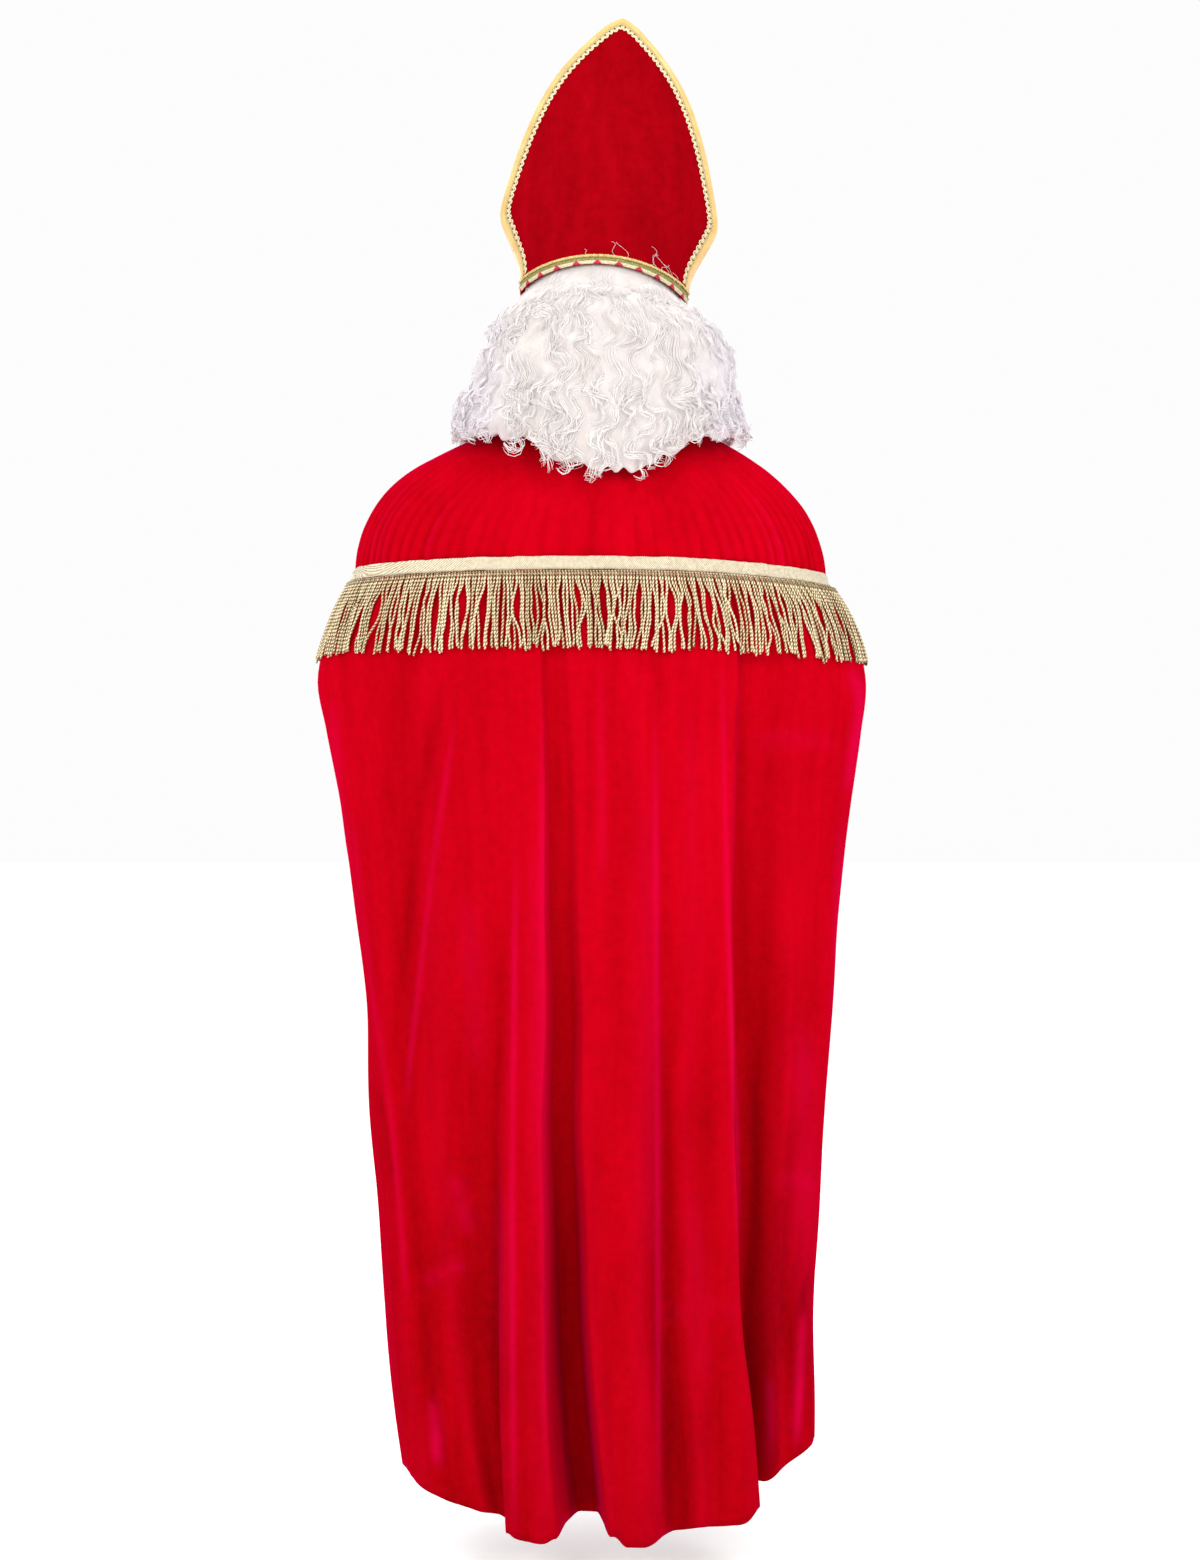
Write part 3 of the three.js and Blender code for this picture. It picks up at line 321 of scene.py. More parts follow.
def new_object(name, verts_mm, faces, mats, smooth_shade=True, attrs=None, mat_index=None, body="root", stage=False):
    me = bpy.data.meshes.new(name)
    me.from_pydata((np.asarray(verts_mm, float) * MM).tolist(), [], [list(map(int, f)) for f in faces] if not isinstance(faces, np.ndarray) else faces.tolist())
    for k, v in (attrs or {}).items():
        a = me.attributes.new(k, "FLOAT", "POINT")
        a.data.foreach_set("value", np.asarray(v, np.float32).ravel())
    for m in mats:
        me.materials.append(m)
    n = len(me.polygons)
    me.polygons.foreach_set("use_smooth", np.full(n, smooth_shade))
    if mat_index is not None:
        me.polygons.foreach_set("material_index", np.asarray(mat_index, np.int32))
    me.update()
    o = bpy.data.objects.new(name, me)
    bpy.context.scene.collection.objects.link(o)
    if stage:
        o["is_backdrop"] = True
    else:
        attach(o, body)
    return o


def grid_normals(P, facing):
    du, dv = np.gradient(P, axis=1), np.gradient(P, axis=0)
    n = unit(np.cross(du, dv))
    flip = np.sum(n * facing, -1) < 0
    n[flip] *= -1
    return n


def quads(R, C, base=0, close=False):
    i, j = np.meshgrid(np.arange(R - 1), np.arange(C - 1 if not close else C), indexing="ij")
    jn = (j + 1) % C
    a, b, c, d = i * C + j, i * C + jn, (i + 1) * C + jn, (i + 1) * C + j
    return np.stack([a, b, c, d], -1).reshape(-1, 4) + base


def shell(name, P, facing, thick, mats, attrs=None, N=None, back_index=1, **kw):
    """Closed thin cloth: the outer grid, the same grid moved in, and the edges between them."""
    R, C = P.shape[:2]
    N = grid_normals(P, facing) if N is None else N
    Q = P - N * (thick[..., None] if np.ndim(thick) else thick)
    fo = quads(R, C)
    p = P.reshape(-1, 3)
    f = fo[0]
    nrm = np.cross(p[fo[:, 2]] - p[fo[:, 0]], p[fo[:, 3]] - p[fo[:, 1]])
    out_dir = np.sum(nrm * N.reshape(-1, 3)[fo[:, 0]], -1).sum() > 0
    if not out_dir:
        fo = fo[:, ::-1]
    fi = fo[:, ::-1] + R * C
    ring = np.concatenate([np.arange(C), np.arange(1, R) * C + C - 1, (R - 1) * C + np.arange(C - 2, -1, -1), np.arange(R - 2, 0, -1) * C])
    nx = np.roll(ring, -1)
    fr = np.stack([ring, nx, nx + R * C, ring + R * C], -1)
    if out_dir:
        fr = fr[:, ::-1]
    faces = np.concatenate([fo, fi, fr])
    at = {k: np.concatenate([np.asarray(v, float).ravel()] * 2) for k, v in (attrs or {}).items()}
    idx = np.concatenate([np.zeros(len(fo), int), np.full(len(fi), back_index), np.zeros(len(fr), int)])
    return new_object(name, np.concatenate([p, Q.reshape(-1, 3)]), faces, mats, attrs=at, mat_index=idx if len(mats) > 1 else None, **kw)


def tubes(paths, radius, sides, tint=None, start=None, flat=1.0, ref=None):
    """Closed tubes along many paths at once. paths (S,K,3), radius (S,K). Returns vertices, faces and attributes."""
    S, K = paths.shape[:2]
    T = unit(np.gradient(paths, axis=1))
    if ref is None:
        ref = np.where(np.abs(T[:, 0, 2:3]) < 0.8, [[0, 0, 1.0]], [[1.0, 0, 0]])
    N = np.empty_like(T)
    n = unit(ref - np.sum(ref * T[:, 0], -1, keepdims=True) * T[:, 0])
    for k in range(K):
        n = unit(n - np.sum(n * T[:, k], -1, keepdims=True) * T[:, k])
        N[:, k] = n
    B = np.cross(T, N)
    a = np.arange(sides) * 2 * np.pi / sides + (start if start is not None else 0)
    off = N[:, :, None] * np.cos(a)[:, None] + flat * B[:, :, None] * np.sin(a)[:, None]
    V = paths[:, :, None] + off * radius[:, :, None, None]
    q = quads(K, sides, close=True)[None] + (np.arange(S) * K * sides)[:, None, None]
    q = q.reshape(-1, 4)
    first = (np.arange(sides)[::-1])[None] + (np.arange(S) * K * sides)[:, None]
    last = (np.arange(sides) + (K - 1) * sides)[None] + (np.arange(S) * K * sides)[:, None]
    run = np.concatenate([np.zeros((S, 1)), np.cumsum(np.linalg.norm(np.diff(paths, axis=1), axis=2), axis=1)], 1)
    attrs = {"ca": np.tile(np.cos(a), S * K), "sa": np.tile(np.sin(a), S * K), "run": np.repeat(run.ravel(), sides)}
    if tint is not None:
        attrs["tint"] = np.repeat(tint, K * sides)
    return V.reshape(-1, 3), q[:, ::-1].tolist() + first[:, ::-1].tolist() + last[:, ::-1].tolist(), attrs


# ------------------------------------------------------------------------------------------------ materials
def lin(r, g, b):
    f = lambda v: (v / 255 / 12.92) if v / 255 <= 0.04045 else ((v / 255 + 0.055) / 1.055) ** 2.4
    return (f(r), f(g), f(b), 1)


class Mat:
    def __init__(self, name):
        self.m = bpy.data.materials.new(name)
        self.m.use_nodes = True
        self.t = self.m.node_tree
        self.n = self.t.nodes
        self.b = self.n["Principled BSDF"]

    def node(self, kind, **kw):
        x = self.n.new(kind)
        for k, v in kw.items():
            setattr(x, k, v)
        return x

    def link(self, a, b):
        self.t.links.new(a, b)

    def set(self, **kw):
        for k, v in kw.items():
            self.b.inputs[k.replace("_", " ")].default_value = v
        return self

    def coords(self, scale=(1, 1, 1), rotation=(0, 0, 0)):
        tc = self.node("ShaderNodeTexCoord")
        mp = self.node("ShaderNodeMapping")
        mp.inputs["Scale"].default_value = scale
        mp.inputs["Rotation"].default_value = rotation
        self.link(tc.outputs["Object"], mp.inputs["Vector"])
        return mp.outputs["Vector"]

    def noise(self, scale, detail=3, rough=0.5, vec=None, distortion=0.0):
        x = self.node("ShaderNodeTexNoise")
        x.inputs["Scale"].default_value = scale
        x.inputs["Detail"].default_value = detail
        x.inputs["Roughness"].default_value = rough
        x.inputs["Distortion"].default_value = distortion
        self.link(vec if vec is not None else self.coords(), x.inputs["Vector"])
        return x.outputs["Fac"]

    def ramp(self, fac, stops):
        x = self.node("ShaderNodeValToRGB")
        r = x.color_ramp
        while len(r.elements) < len(stops):
            r.elements.new(0.5)
        for e, (p, c) in zip(r.elements, stops):
            e.position, e.color = p, c
        self.link(fac, x.inputs["Fac"])
        return x.outputs["Color"]

    def math(self, op, a, b=None, c=None, clamp=False):
        x = self.node("ShaderNodeMath", operation=op, use_clamp=clamp)
        for k, v in enumerate((a, b, c)):
            if v is None:
                continue
            if isinstance(v, (int, float)):
                x.inputs[k].default_value = v
            else:
                self.link(v, x.inputs[k])
        return x.outputs["Value"]

    def mixc(self, fac, a, b, mode="MIX"):
        x = self.node("ShaderNodeMix", data_type="RGBA", blend_type=mode)
        for sock, v in ((x.inputs["Factor"], fac), (x.inputs[6], a), (x.inputs[7], b)):
            if isinstance(v, (int, float, tuple)):
                sock.default_value = v
            else:
                self.link(v, sock)
        return x.outputs[2]

    def attr(self, name):
        x = self.node("ShaderNodeAttribute", attribute_name=name)
        return x.outputs["Fac"]

    def bump(self, height, strength=0.3, distance=0.001, prev=None):
        x = self.node("ShaderNodeBump")
        x.inputs["Strength"].default_value = strength
        x.inputs["Distance"].default_value = distance
        self.link(height, x.inputs["Height"])
        if prev is not None:
            self.link(prev, x.inputs["Normal"])
        return x.outputs["Normal"]

    def colour(self, out):
        self.link(out, self.b.inputs["Base Color"])

    def rough(self, out):
        self.link(out, self.b.inputs["Roughness"])

    def normal(self, out):
        self.link(out, self.b.inputs["Normal"])


def velvet(name, deepest, deep, mid, light, painted_sheen, sheen=0.3, tint=(1.0, 0.0, 0.13, 1)):
    m = Mat(name)
    # nap: long soft streaks down the cloth over broad patches
    broad = m.noise(3.2, 3, 0.55, m.coords((1.0, 1.0, 0.5)), 0.6)
    streak = m.noise(34, 4, 0.62, m.coords((1.0, 1.0, 0.1)), 0.4)
    blotch = m.noise(80, 4, 0.65)
    f = m.math("ADD", m.math("MULTIPLY", broad, 0.4), m.math("MULTIPLY", streak, 0.34))
    f = m.math("ADD", f, m.math("MULTIPLY", blotch, 0.26))
    # painted shade: the colour darkens where the cloth's shade attribute is set, in hollows, creases and towards the
    # hem
    f = m.math("SUBTRACT", f, m.math("MULTIPLY", m.attr("painted_shade"), 0.42))
    base = m.ramp(f, [(0.08, deepest), (0.32, deep), (0.5, mid), (0.66, light)])
    # painted highlight: a pink sheen colour is mixed in along crests and creases by the shine attribute
    m.colour(m.mixc(m.math("MULTIPLY", m.attr("shine"), 0.75, clamp=True), base, painted_sheen))
    m.rough(m.math("ADD", m.math("MULTIPLY", streak, 0.18), 0.66))
    pile = m.noise(1500, 2, 0.5)
    crush = m.noise(210, 3, 0.6, m.coords((1, 1, 0.5)))
    m.normal(m.bump(pile, 0.2, 0.0005, m.bump(crush, 0.15, 0.0014)))
    m.set(Sheen_Weight=sheen, Sheen_Roughness=0.34, Sheen_Tint=tint, Specular_IOR_Level=0.0)
    return m.m


MATS["velvet"] = velvet("red_velvet", lin(124, 1, 6), lin(156, 1, 11), lin(174, 1, 17), lin(188, 1, 22), lin(204, 4, 66))
# a darker copy of the red velvet for the mitre: painted shade
MATS["velvet_mitre"] = velvet("red_velvet_mitre", lin(84, 1, 3), lin(116, 1, 7), lin(142, 2, 12), lin(158, 3, 20), lin(172, 2, 50), sheen=0.2)

m = Mat("velvet_back")  # the knitted reverse of the cloth
knit = m.node("ShaderNodeTexWave", wave_type="BANDS", bands_direction="X")
knit.inputs["Scale"].default_value = 260
knit.inputs["Distortion"].default_value = 2
m.link(m.coords(), knit.inputs["Vector"])
m.colour(m.ramp(m.noise(9, 3), [(0.3, lin(112, 2, 10)), (0.7, lin(138, 3, 14))]))
m.normal(m.bump(knit.outputs["Fac"], 0.2, 0.0004))
m.set(Roughness=0.85, Specular_IOR_Level=0.04)
MATS["velvet_back"] = m.m

m = Mat("cream_gold_braid")
w1 = m.node("ShaderNodeTexWave", wave_type="BANDS", bands_direction="DIAGONAL")
w1.inputs["Scale"].default_value = 230
w1.inputs["Distortion"].default_value = 1.2
m.link(m.coords(), w1.inputs["Vector"])
g1 = m.noise(240, 2)
m.colour(m.ramp(m.math("ADD", m.math("MULTIPLY", w1.outputs["Fac"], 0.5), m.math("MULTIPLY", g1, 0.5)),
                [(0.2, lin(146, 128, 94)), (0.45, lin(192, 178, 147)), (0.72, lin(220, 210, 186))]))
m.normal(m.bump(w1.outputs["Fac"], 0.5, 0.0006, m.bump(g1, 0.3, 0.0005)))
m.set(Roughness=0.5, Sheen_Weight=0.2, Specular_IOR_Level=0.4)
MATS["braid"] = m.m

m = Mat("gold_fringe_cord")  # two plies twisted together, one turn every 5 mm
ph = m.math("MULTIPLY", m.attr("run"), 2 * math.pi / 10.0)
# painted shade: each cord is darker in the grooves between its two plies
ply = m.math("ABSOLUTE", m.math("ADD", m.math("MULTIPLY", m.attr("ca"), m.math("COSINE", ph)), m.math("MULTIPLY", m.attr("sa"), m.math("SINE", ph))))
g1 = m.noise(260, 2)
# painted light: the side of each cord facing out from the cape is lighter than the rest
outer = m.math("MULTIPLY", m.attr("ca"), 1.1, clamp=True)
f = m.math("ADD", m.math("MULTIPLY", ply, 0.52), m.math("ADD", m.math("MULTIPLY", m.attr("tint"), 0.24), m.math("MULTIPLY", outer, 0.30)))
# painted light in the first 17 mm below the heading, against the heading's shadow
painted_light_below_heading = m.math("SUBTRACT", 1.0, m.math("MULTIPLY", m.attr("run"), 0.06, clamp=True))
f = m.math("ADD", f, m.math("MULTIPLY", painted_light_below_heading, 0.12))
m.colour(m.ramp(f, [(0.22, lin(78, 53, 22)), (0.42, lin(148, 117, 68)), (0.62, lin(214, 188, 138)), (0.84, lin(248, 234, 196))]))
m.normal(m.bump(ply, 1.0, 0.0018))
m.set(Roughness=0.45, Specular_IOR_Level=0.4, Sheen_Weight=0.1)
MATS["fringe"] = m.m

m = Mat("gold_binding_satin")
s1 = m.noise(36, 3, 0.6, m.coords((1, 1, 1)))
m.colour(m.ramp(s1, [(0.25, lin(206, 158, 80)), (0.55, lin(224, 182, 106)), (0.8, lin(236, 204, 136))]))
w1 = m.node("ShaderNodeTexWave", wave_type="BANDS", bands_direction="Z")
w1.inputs["Scale"].default_value = 330
w1.inputs["Distortion"].default_value = 1
m.link(m.coords(), w1.inputs["Vector"])
m.normal(m.bump(w1.outputs["Fac"], 0.15, 0.0004, m.bump(s1, 0.25, 0.002)))
m.set(Roughness=0.36, Specular_IOR_Level=0.55, Sheen_Weight=0.15)
MATS["binding"] = m.m

m = Mat("cream_lace_braid")
g1 = m.noise(600, 2)
m.colour(m.ramp(m.math("ADD", m.math("MULTIPLY", g1, 0.6), m.math("MULTIPLY", m.attr("tint"), 0.4)),
                [(0.15, lin(176, 150, 96)), (0.45, lin(214, 196, 148)), (0.8, lin(236, 224, 190))]))
m.normal(m.bump(g1, 0.5, 0.0006))
m.set(Roughness=0.5, Specular_IOR_Level=0.45)
MATS["lace"] = m.m

m = Mat("cream_lace_ground")
hole = m.math("SUBTRACT", m.math("FRACT", m.math("DIVIDE", m.attr("run"), 8.8)), 0.5)
hole = m.math("ADD", m.math("POWER", m.math("ABSOLUTE", m.math("MULTIPLY", hole, 8.8)), 2), m.math("POWER", m.math("ABSOLUTE", m.math("SUBTRACT", m.attr("across"), 2.0)), 2))
hole = m.math("LESS_THAN", hole, 2.0)
g1 = m.noise(600, 2)
# painted shade: the holes through the lace are painted dark
m.colour(m.mixc(hole, m.ramp(g1, [(0.25, lin(196, 172, 118)), (0.7, lin(228, 212, 170))]), lin(104, 78, 36)))
m.normal(m.bump(g1, 0.5, 0.0006))
m.set(Roughness=0.55, Specular_IOR_Level=0.35)
MATS["lace_ground"] = m.m

# rim braid: red sawtooth under an olive band, which is gold with painted shade under the cord, drawn along the braid
# (attributes: along in mm, up from 0 to 1)
m = Mat("rim_braid_sawtooth")
u, v = m.attr("run"), m.attr("up")
saw = m.math("PINGPONG", u, 14.0)  # one tooth every 28 mm
tooth = m.math("LESS_THAN", m.math("ADD", m.math("MULTIPLY", saw, 0.105), v), 0.60)
g1 = m.noise(500, 2)
# painted shade: the gold under the cord is given olive tones
shaded_gold = m.ramp(g1, [(0.3, lin(96, 92, 46)), (0.6, lin(140, 134, 78)), (0.85, lin(190, 182, 124))])
pale = m.ramp(g1, [(0.3, lin(168, 158, 118)), (0.7, lin(222, 212, 176))])
red = m.ramp(g1, [(0.3, lin(150, 16, 40)), (0.7, lin(208, 40, 72))])
low = m.math("LESS_THAN", v, 0.42)
m.colour(m.mixc(tooth, m.mixc(low, shaded_gold, pale), red))
m.normal(m.bump(g1, 0.6, 0.0007))
m.set(Roughness=0.55, Specular_IOR_Level=0.35)
MATS["rim"] = m.m

m = Mat("gold_cord")
g1 = m.noise(380, 2)
m.colour(m.ramp(g1, [(0.25, lin(176, 146, 74)), (0.6, lin(226, 204, 134)), (0.85, lin(246, 232, 180))]))
m.set(Roughness=0.4, Specular_IOR_Level=0.5)
MATS["cord"] = m.m


def hair_material(name, shade, mid, light, cool, through, glow):
    m = Mat(name)
    # strand lines running along each lock, darker between the strands: painted shade
    vec = m.node("ShaderNodeCombineXYZ")
    m.link(m.math("MULTIPLY", m.attr("ca"), 4.2), vec.inputs[0])
    m.link(m.math("MULTIPLY", m.attr("sa"), 4.2), vec.inputs[1])
    m.link(m.math("ADD", m.math("MULTIPLY", m.attr("run"), 0.05), m.math("MULTIPLY", m.attr("tint"), 60)), vec.inputs[2])
    lines = m.noise(0.85, 3, 0.6, vec.outputs["Vector"])
    f = m.math("ADD", m.math("MULTIPLY", m.attr("tint"), 0.4), m.math("MULTIPLY", lines, 0.6))
    warm = m.ramp(f, [(0.15, shade), (0.45, mid), (0.8, light)])
    # painted shade: cooler and darker colour towards the sides of the wig
    m.colour(m.mixc(m.attr("cool"), warm, cool))
    m.normal(m.bump(lines, 0.35, 0.0012))
    m.set(Roughness=0.6, Specular_IOR_Level=0.2, Sheen_Weight=0.2, Sheen_Roughness=0.5,
          Subsurface_Weight=through, Subsurface_Radius=(0.012, 0.0115, 0.0115), Subsurface_Scale=1.0,
          Emission_Color=(1.0, 0.965, 0.955, 1), Emission_Strength=glow)
    return m.m


# the strands glow a little (emission 0.12): painted light in place of light scattered between the white strands
MATS["hair"] = hair_material("white_hair", lin(208, 200, 197), lin(225, 219, 217), lin(239, 235, 234), lin(222, 215, 225), 0.0, 0.12)
# the hair's form under the strands gets a darker copy of the hair colours, without glow: painted shade
MATS["hair_mass"] = hair_material("white_hair_under_shaded", lin(178, 167, 161), lin(200, 192, 188), lin(218, 212, 209), lin(204, 197, 206), 0.4, 0.0)

m = Mat("wig_net_cap")
vo = m.node("ShaderNodeTexVoronoi", feature="DISTANCE_TO_EDGE")
vo.inputs["Scale"].default_value = 330
m.link(m.coords(), vo.inputs["Vector"])
# painted shade: darker inside the meshes of the net, where its holes are
m.colour(m.ramp(vo.outputs["Distance"], [(0.02, lin(232, 220, 200)), (0.16, lin(176, 160, 138))]))
m.normal(m.bump(vo.outputs["Distance"], 0.5, 0.0008))
m.set(Roughness=0.8, Specular_IOR_Level=0.2)
MATS["net"] = m.m

m = Mat("brass_fastening")
s1 = m.noise(80, 4)
m.colour(m.ramp(s1, [(0.3, lin(150, 116, 52)), (0.7, lin(214, 178, 96))]))
m.rough(m.ramp(s1, [(0.3, (0.42, 0.42, 0.42, 1)), (0.7, (0.26, 0.26, 0.26, 1))]))
m.set(Metallic=1.0)
MATS["brass"] = m.m

m = Mat("studio_white")
m.colour(m.ramp(m.noise(0.7, 2), [(0.3, (0.93, 0.93, 0.93, 1)), (0.7, (0.95, 0.95, 0.95, 1))]))
m.set(Roughness=0.9, Specular_IOR_Level=0.1, Emission_Color=(1, 1, 1, 1), Emission_Strength=0.2)
MATS["stage"] = m.m

# ------------------------------------------------------------------------------------------------ camera and studio
cam_data = bpy.data.cameras.new("camera")
cam = bpy.data.objects.new("camera", cam_data)
bpy.context.scene.collection.objects.link(cam)
cam.location = (0, 3.6, -0.4667)
cam.rotation_euler = (math.radians(90), 0, math.radians(180))
cam_data.sensor_fit = "AUTO"
cam_data.sensor_width = 36
cam_data.lens = 62.3
cam_data.clip_end = 50
bpy.context.scene.camera = cam

FLOOR = -1.492
floor = np.array([[(x, y, FLOOR) for x in np.linspace(-30, 30, 7)] for y in np.linspace(30, -30, 7)]) / MM
new_object("studio_floor", floor.reshape(-1, 3), quads(7, 7), [MATS["stage"]], stage=True)


def area(name, loc, target, size, power, colour=(1, 1, 1)):
    d = bpy.data.lights.new(name, "AREA")
    d.shape, d.size, d.energy, d.color = "SQUARE", size, power, colour
    o = bpy.data.objects.new(name, d)
    o.location = loc
    o.rotation_euler = (Vector(target) - Vector(loc)).to_track_quat("-Z", "Y").to_euler()
    bpy.context.scene.collection.objects.link(o)


area("key", (-2.2, 3.5, 1.9), (0, 0, -0.2), 2.2, 75)
area("fill", (2.5, 3.4, 1.7), (0, 0, -0.2), 2.4, 73)
area("front_fill", (0.6, -3.6, 1.4), (0, 0, -0.4), 2.4, 60)
area("top", (0.0, 0.2, 3.4), (0, 0, -0.4), 3.0, 40)
world = bpy.data.worlds.new("studio") if not bpy.context.scene.world else bpy.context.scene.world
bpy.context.scene.world = world
world.use_nodes = True
bg = world.node_tree.nodes.get("Background") or world.node_tree.nodes.new("ShaderNodeBackground")
bg.inputs["Color"].default_value = (1, 1, 1, 1)
bg.inputs["Strength"].default_value = 0.98
bpy.context.scene.view_settings.view_transform = "Standard"
bpy.context.scene.view_settings.look = "None"

# ------------------------------------------------------------------------------------------------ cape cloth
HERE = {n: i for i, n in enumerate(FOLD_NAMES)}


def gathers(deg, seed=3):
    """Uneven small pleats where the cloth is drawn into the yoke seam, -1 to 1 round the shoulders."""
    g = np.random.default_rng(seed)
    at, pos = [], -182.0
    while pos < 182:
        at.append(pos)
        pos += g.uniform(3.1, 5.4)
    at = np.array(at)
    amp = g.uniform(0.45, 1.0, len(at))
    i = np.clip(np.searchsorted(at, deg) - 1, 0, len(at) - 2)
    t = (deg - at[i]) / (at[i + 1] - at[i])
    bumpy = np.sin(np.pi * t) ** 1.3 * (amp[i])
    return bumpy * 2 - 0.8


def seen(P):
    """Where a point shows when the cape is seen square-on from behind: across and down, in units of 4/3 mm at the neck."""
    k = 3600 / (3600 - P[..., 1]) / (4 / 3)
    return 600 - P[..., 0] * k, 780 - (P[..., 2] + 466.7) * k


# soft creases placed over the main folds: points (across, down), width, height in mm, dark (painted shade along the
# crease), shine (painted highlight along the crease)
STROKES = [
    ([(446, 655), (432, 730), (421, 800), (409, 900), (399, 1000), (386, 1100)], 13, -2.6, 0.42, 0),
    ([(458, 700), (438, 830), (425, 930), (412, 1050), (404, 1130)], 6, 1.4, 0, 0.4),
    ([(350, 800), (362, 900), (376, 1010), (392, 1110)], 5, 1.2, 0, 0.35),
    ([(374, 1075), (384, 1120), (394, 1190)], 9, -2.0, 0.35, 0),
    ([(380, 1060), (392, 1110), (400, 1200), (408, 1310)], 6, 1.6, 0, 0.35),
    ([(432, 1395), (436, 1430), (438, 1470)], 11, 1.0, 0, 0.7),
    ([(420, 1285), (448, 1270), (470, 1262)], 12, 1.0, 0, 0.3),
    ([(516, 820), (514, 1000), (512, 1200), (513, 1400), (514, 1560)], 6, 1.3, 0, 0.55),
    ([(500, 900), (497, 1100), (498, 1300), (500, 1500)], 11, -1.4, 0.28, 0),
    ([(541, 655), (542, 760), (543, 900), (544, 1100), (545, 1300), (546, 1530)], 7, 1.0, 0, 0.5),
    ([(556, 655), (558, 760), (562, 850)], 9, -1.2, 0.3, 0),
    ([(480, 660), (484, 760), (486, 900)], 13, -1.2, 0.16, 0),
    ([(590, 655), (589, 740), (590, 860)], 9, -1.4, 0.3, 0),
    ([(600, 655), (601, 760), (603, 900)], 8, 0.9, 0, 0.25),
    ([(628, 660), (630, 760), (632, 900)], 12, -0.9, 0.14, 0),
    ([(655, 690), (656, 850), (657, 1050), (658, 1250), (659, 1530)], 6, 1.4, 0, 0.75),
    ([(664, 980), (666, 1150), (668, 1350), (669, 1530)], 11, -1.2, 0.3, 0),
    ([(721, 652), (724, 760), (727, 880), (731, 1000), (736, 1130), (740, 1280)], 5, 1.4, 0, 0.7),
    ([(737, 700), (742, 860), (748, 1000), (756, 1150), (764, 1300), (767, 1480)], 14, -1.4, 0.32, 0),
    ([(690, 700), (694, 860), (700, 1000)], 14, 0.8, 0, 0.12),
    ([(846, 660), (858, 690), (860, 712), (853, 750), (845, 800)], 11, 1.6, 0, 0.9),
    ([(842, 700), (846, 740), (838, 800), (834, 900)], 10, -1.4, 0.25, 0),
    ([(842, 800), (838, 900), (836, 1000), (832, 1100), (827, 1200)], 9, 0.8, 0, 0.55),
    ([(750, 742), (790, 738), (842, 744)], 15, 1.3, 0, 0.16),
    ([(752, 772), (796, 770), (840, 778)], 14, -1.0, 0.12, 0),
    ([(700, 720), (760, 716), (800, 722)], 14, -0.8, 0.08, 0),
    ([(770, 1182), (795, 1178), (818, 1186)], 12, 0.9, 0, 0.22),
    ([(812, 1262), (806, 1285), (800, 1320)], 8, -1.8, 0.4, 0),
    ([(803, 1300), (799, 1370), (795, 1455)], 8, 1.6, 0, 0.75),
    ([(768, 1370), (772, 1420), (768, 1470)], 9, 1.0, 0, 0.5),
    ([(790, 1120), (782, 1240), (780, 1380)], 13, -1.6, 0.3, 0),
    ([(640, 1318), (700, 1306), (757, 1312)], 18, 0.9, 0, 0.1),
    ([(640, 1352), (700, 1342), (757, 1350)], 16, -0.8, 0.08, 0),
    ([(404, 655), (394, 720), (386, 800), (380, 880)], 15, -1.2, 0.16, 0),
    ([(330, 690), (338, 780), (350, 880)], 9, 1.0, 0, 0.35),
    ([(455, 1000), (452, 1150), (446, 1300)], 20, -1.0, 0.14, 0),
    ([(786, 900), (788, 1200), (790, 1440)], 44, -0.6, 0.36, 0),
    ([(700, 1050), (705, 1300), (708, 1520)], 46, -0.4, 0.30, 0),
    ([(440, 680), (425, 900), (432, 1150)], 48, -0.5, 0.28, 0),
    ([(790, 660), (790, 800), (786, 900)], 36, -0.5, 0.2, 0),
    ([(534, 800), (536, 1000), (537, 1250)], 15, 0.4, 0, 0.22),
    ([(648, 760), (650, 1000), (652, 1300)], 13, 0.3, 0, 0.25),
    ([(466, 880), (474, 1000), (478, 1080)], 20, 0.5, 0, 0.18),
    ([(452, 1170), (462, 1205), (470, 1240)], 15, 0.7, 0, 0.3),
    ([(500, 1180), (503, 1260), (506, 1380)], 16, 0.4, 0, 0.16),
    ([(802, 1010), (806, 1150), (803, 1320)], 22, 0.3, 0, 0.3),
    ([(346, 1100), (372, 1250), (390, 1400)], 18, 0.4, 0, 0.2),
    ([(690, 1180), (700, 1300), (706, 1400)], 18, 0.3, 0, 0.14),
    ([(620, 640), (622, 900), (625, 1180)], 34, -0.3, 0.22, 0),
    ([(690, 640), (700, 900), (706, 1180)], 36, -0.3, 0.2, 0),
]


def stroke_field(P, strokes=STROKES):
    a, b = seen(P)
    lift, stroke_shade, shine = np.zeros(a.shape), np.zeros(a.shape), np.zeros(a.shape)
    for pts, width, height, dk, sh in strokes:
        pts = np.asarray(pts, float)
        seg = np.diff(pts, axis=0)
        ln = np.linalg.norm(seg, axis=1)
        total, done = ln.sum(), 0.0
        best, where = np.full(a.shape, 1e9), np.zeros(a.shape)
        for k in range(len(seg)):
            dx, dy = a - pts[k, 0], b - pts[k, 1]
            t = np.clip((dx * seg[k, 0] + dy * seg[k, 1]) / (ln[k] ** 2), 0, 1)
            d = np.hypot(dx - t * seg[k, 0], dy - t * seg[k, 1])
            nearer = d < best
            best = np.where(nearer, d, best)
            where = np.where(nearer, (done + t * ln[k]) / total, where)
            done += ln[k]
        fade = smooth(-0.02, 0.22, where) * (1 - smooth(0.78, 1.02, where)) * (0.75 + 0.25 * noise(where * 5, 0 * where + width + pts[0, 0], 14))
        g = np.exp(-(best / (width * 0.55)) ** 2) * fade
        lift += height * g
        stroke_shade += dk * g
        shine += sh * g
    return lift, stroke_shade, shine


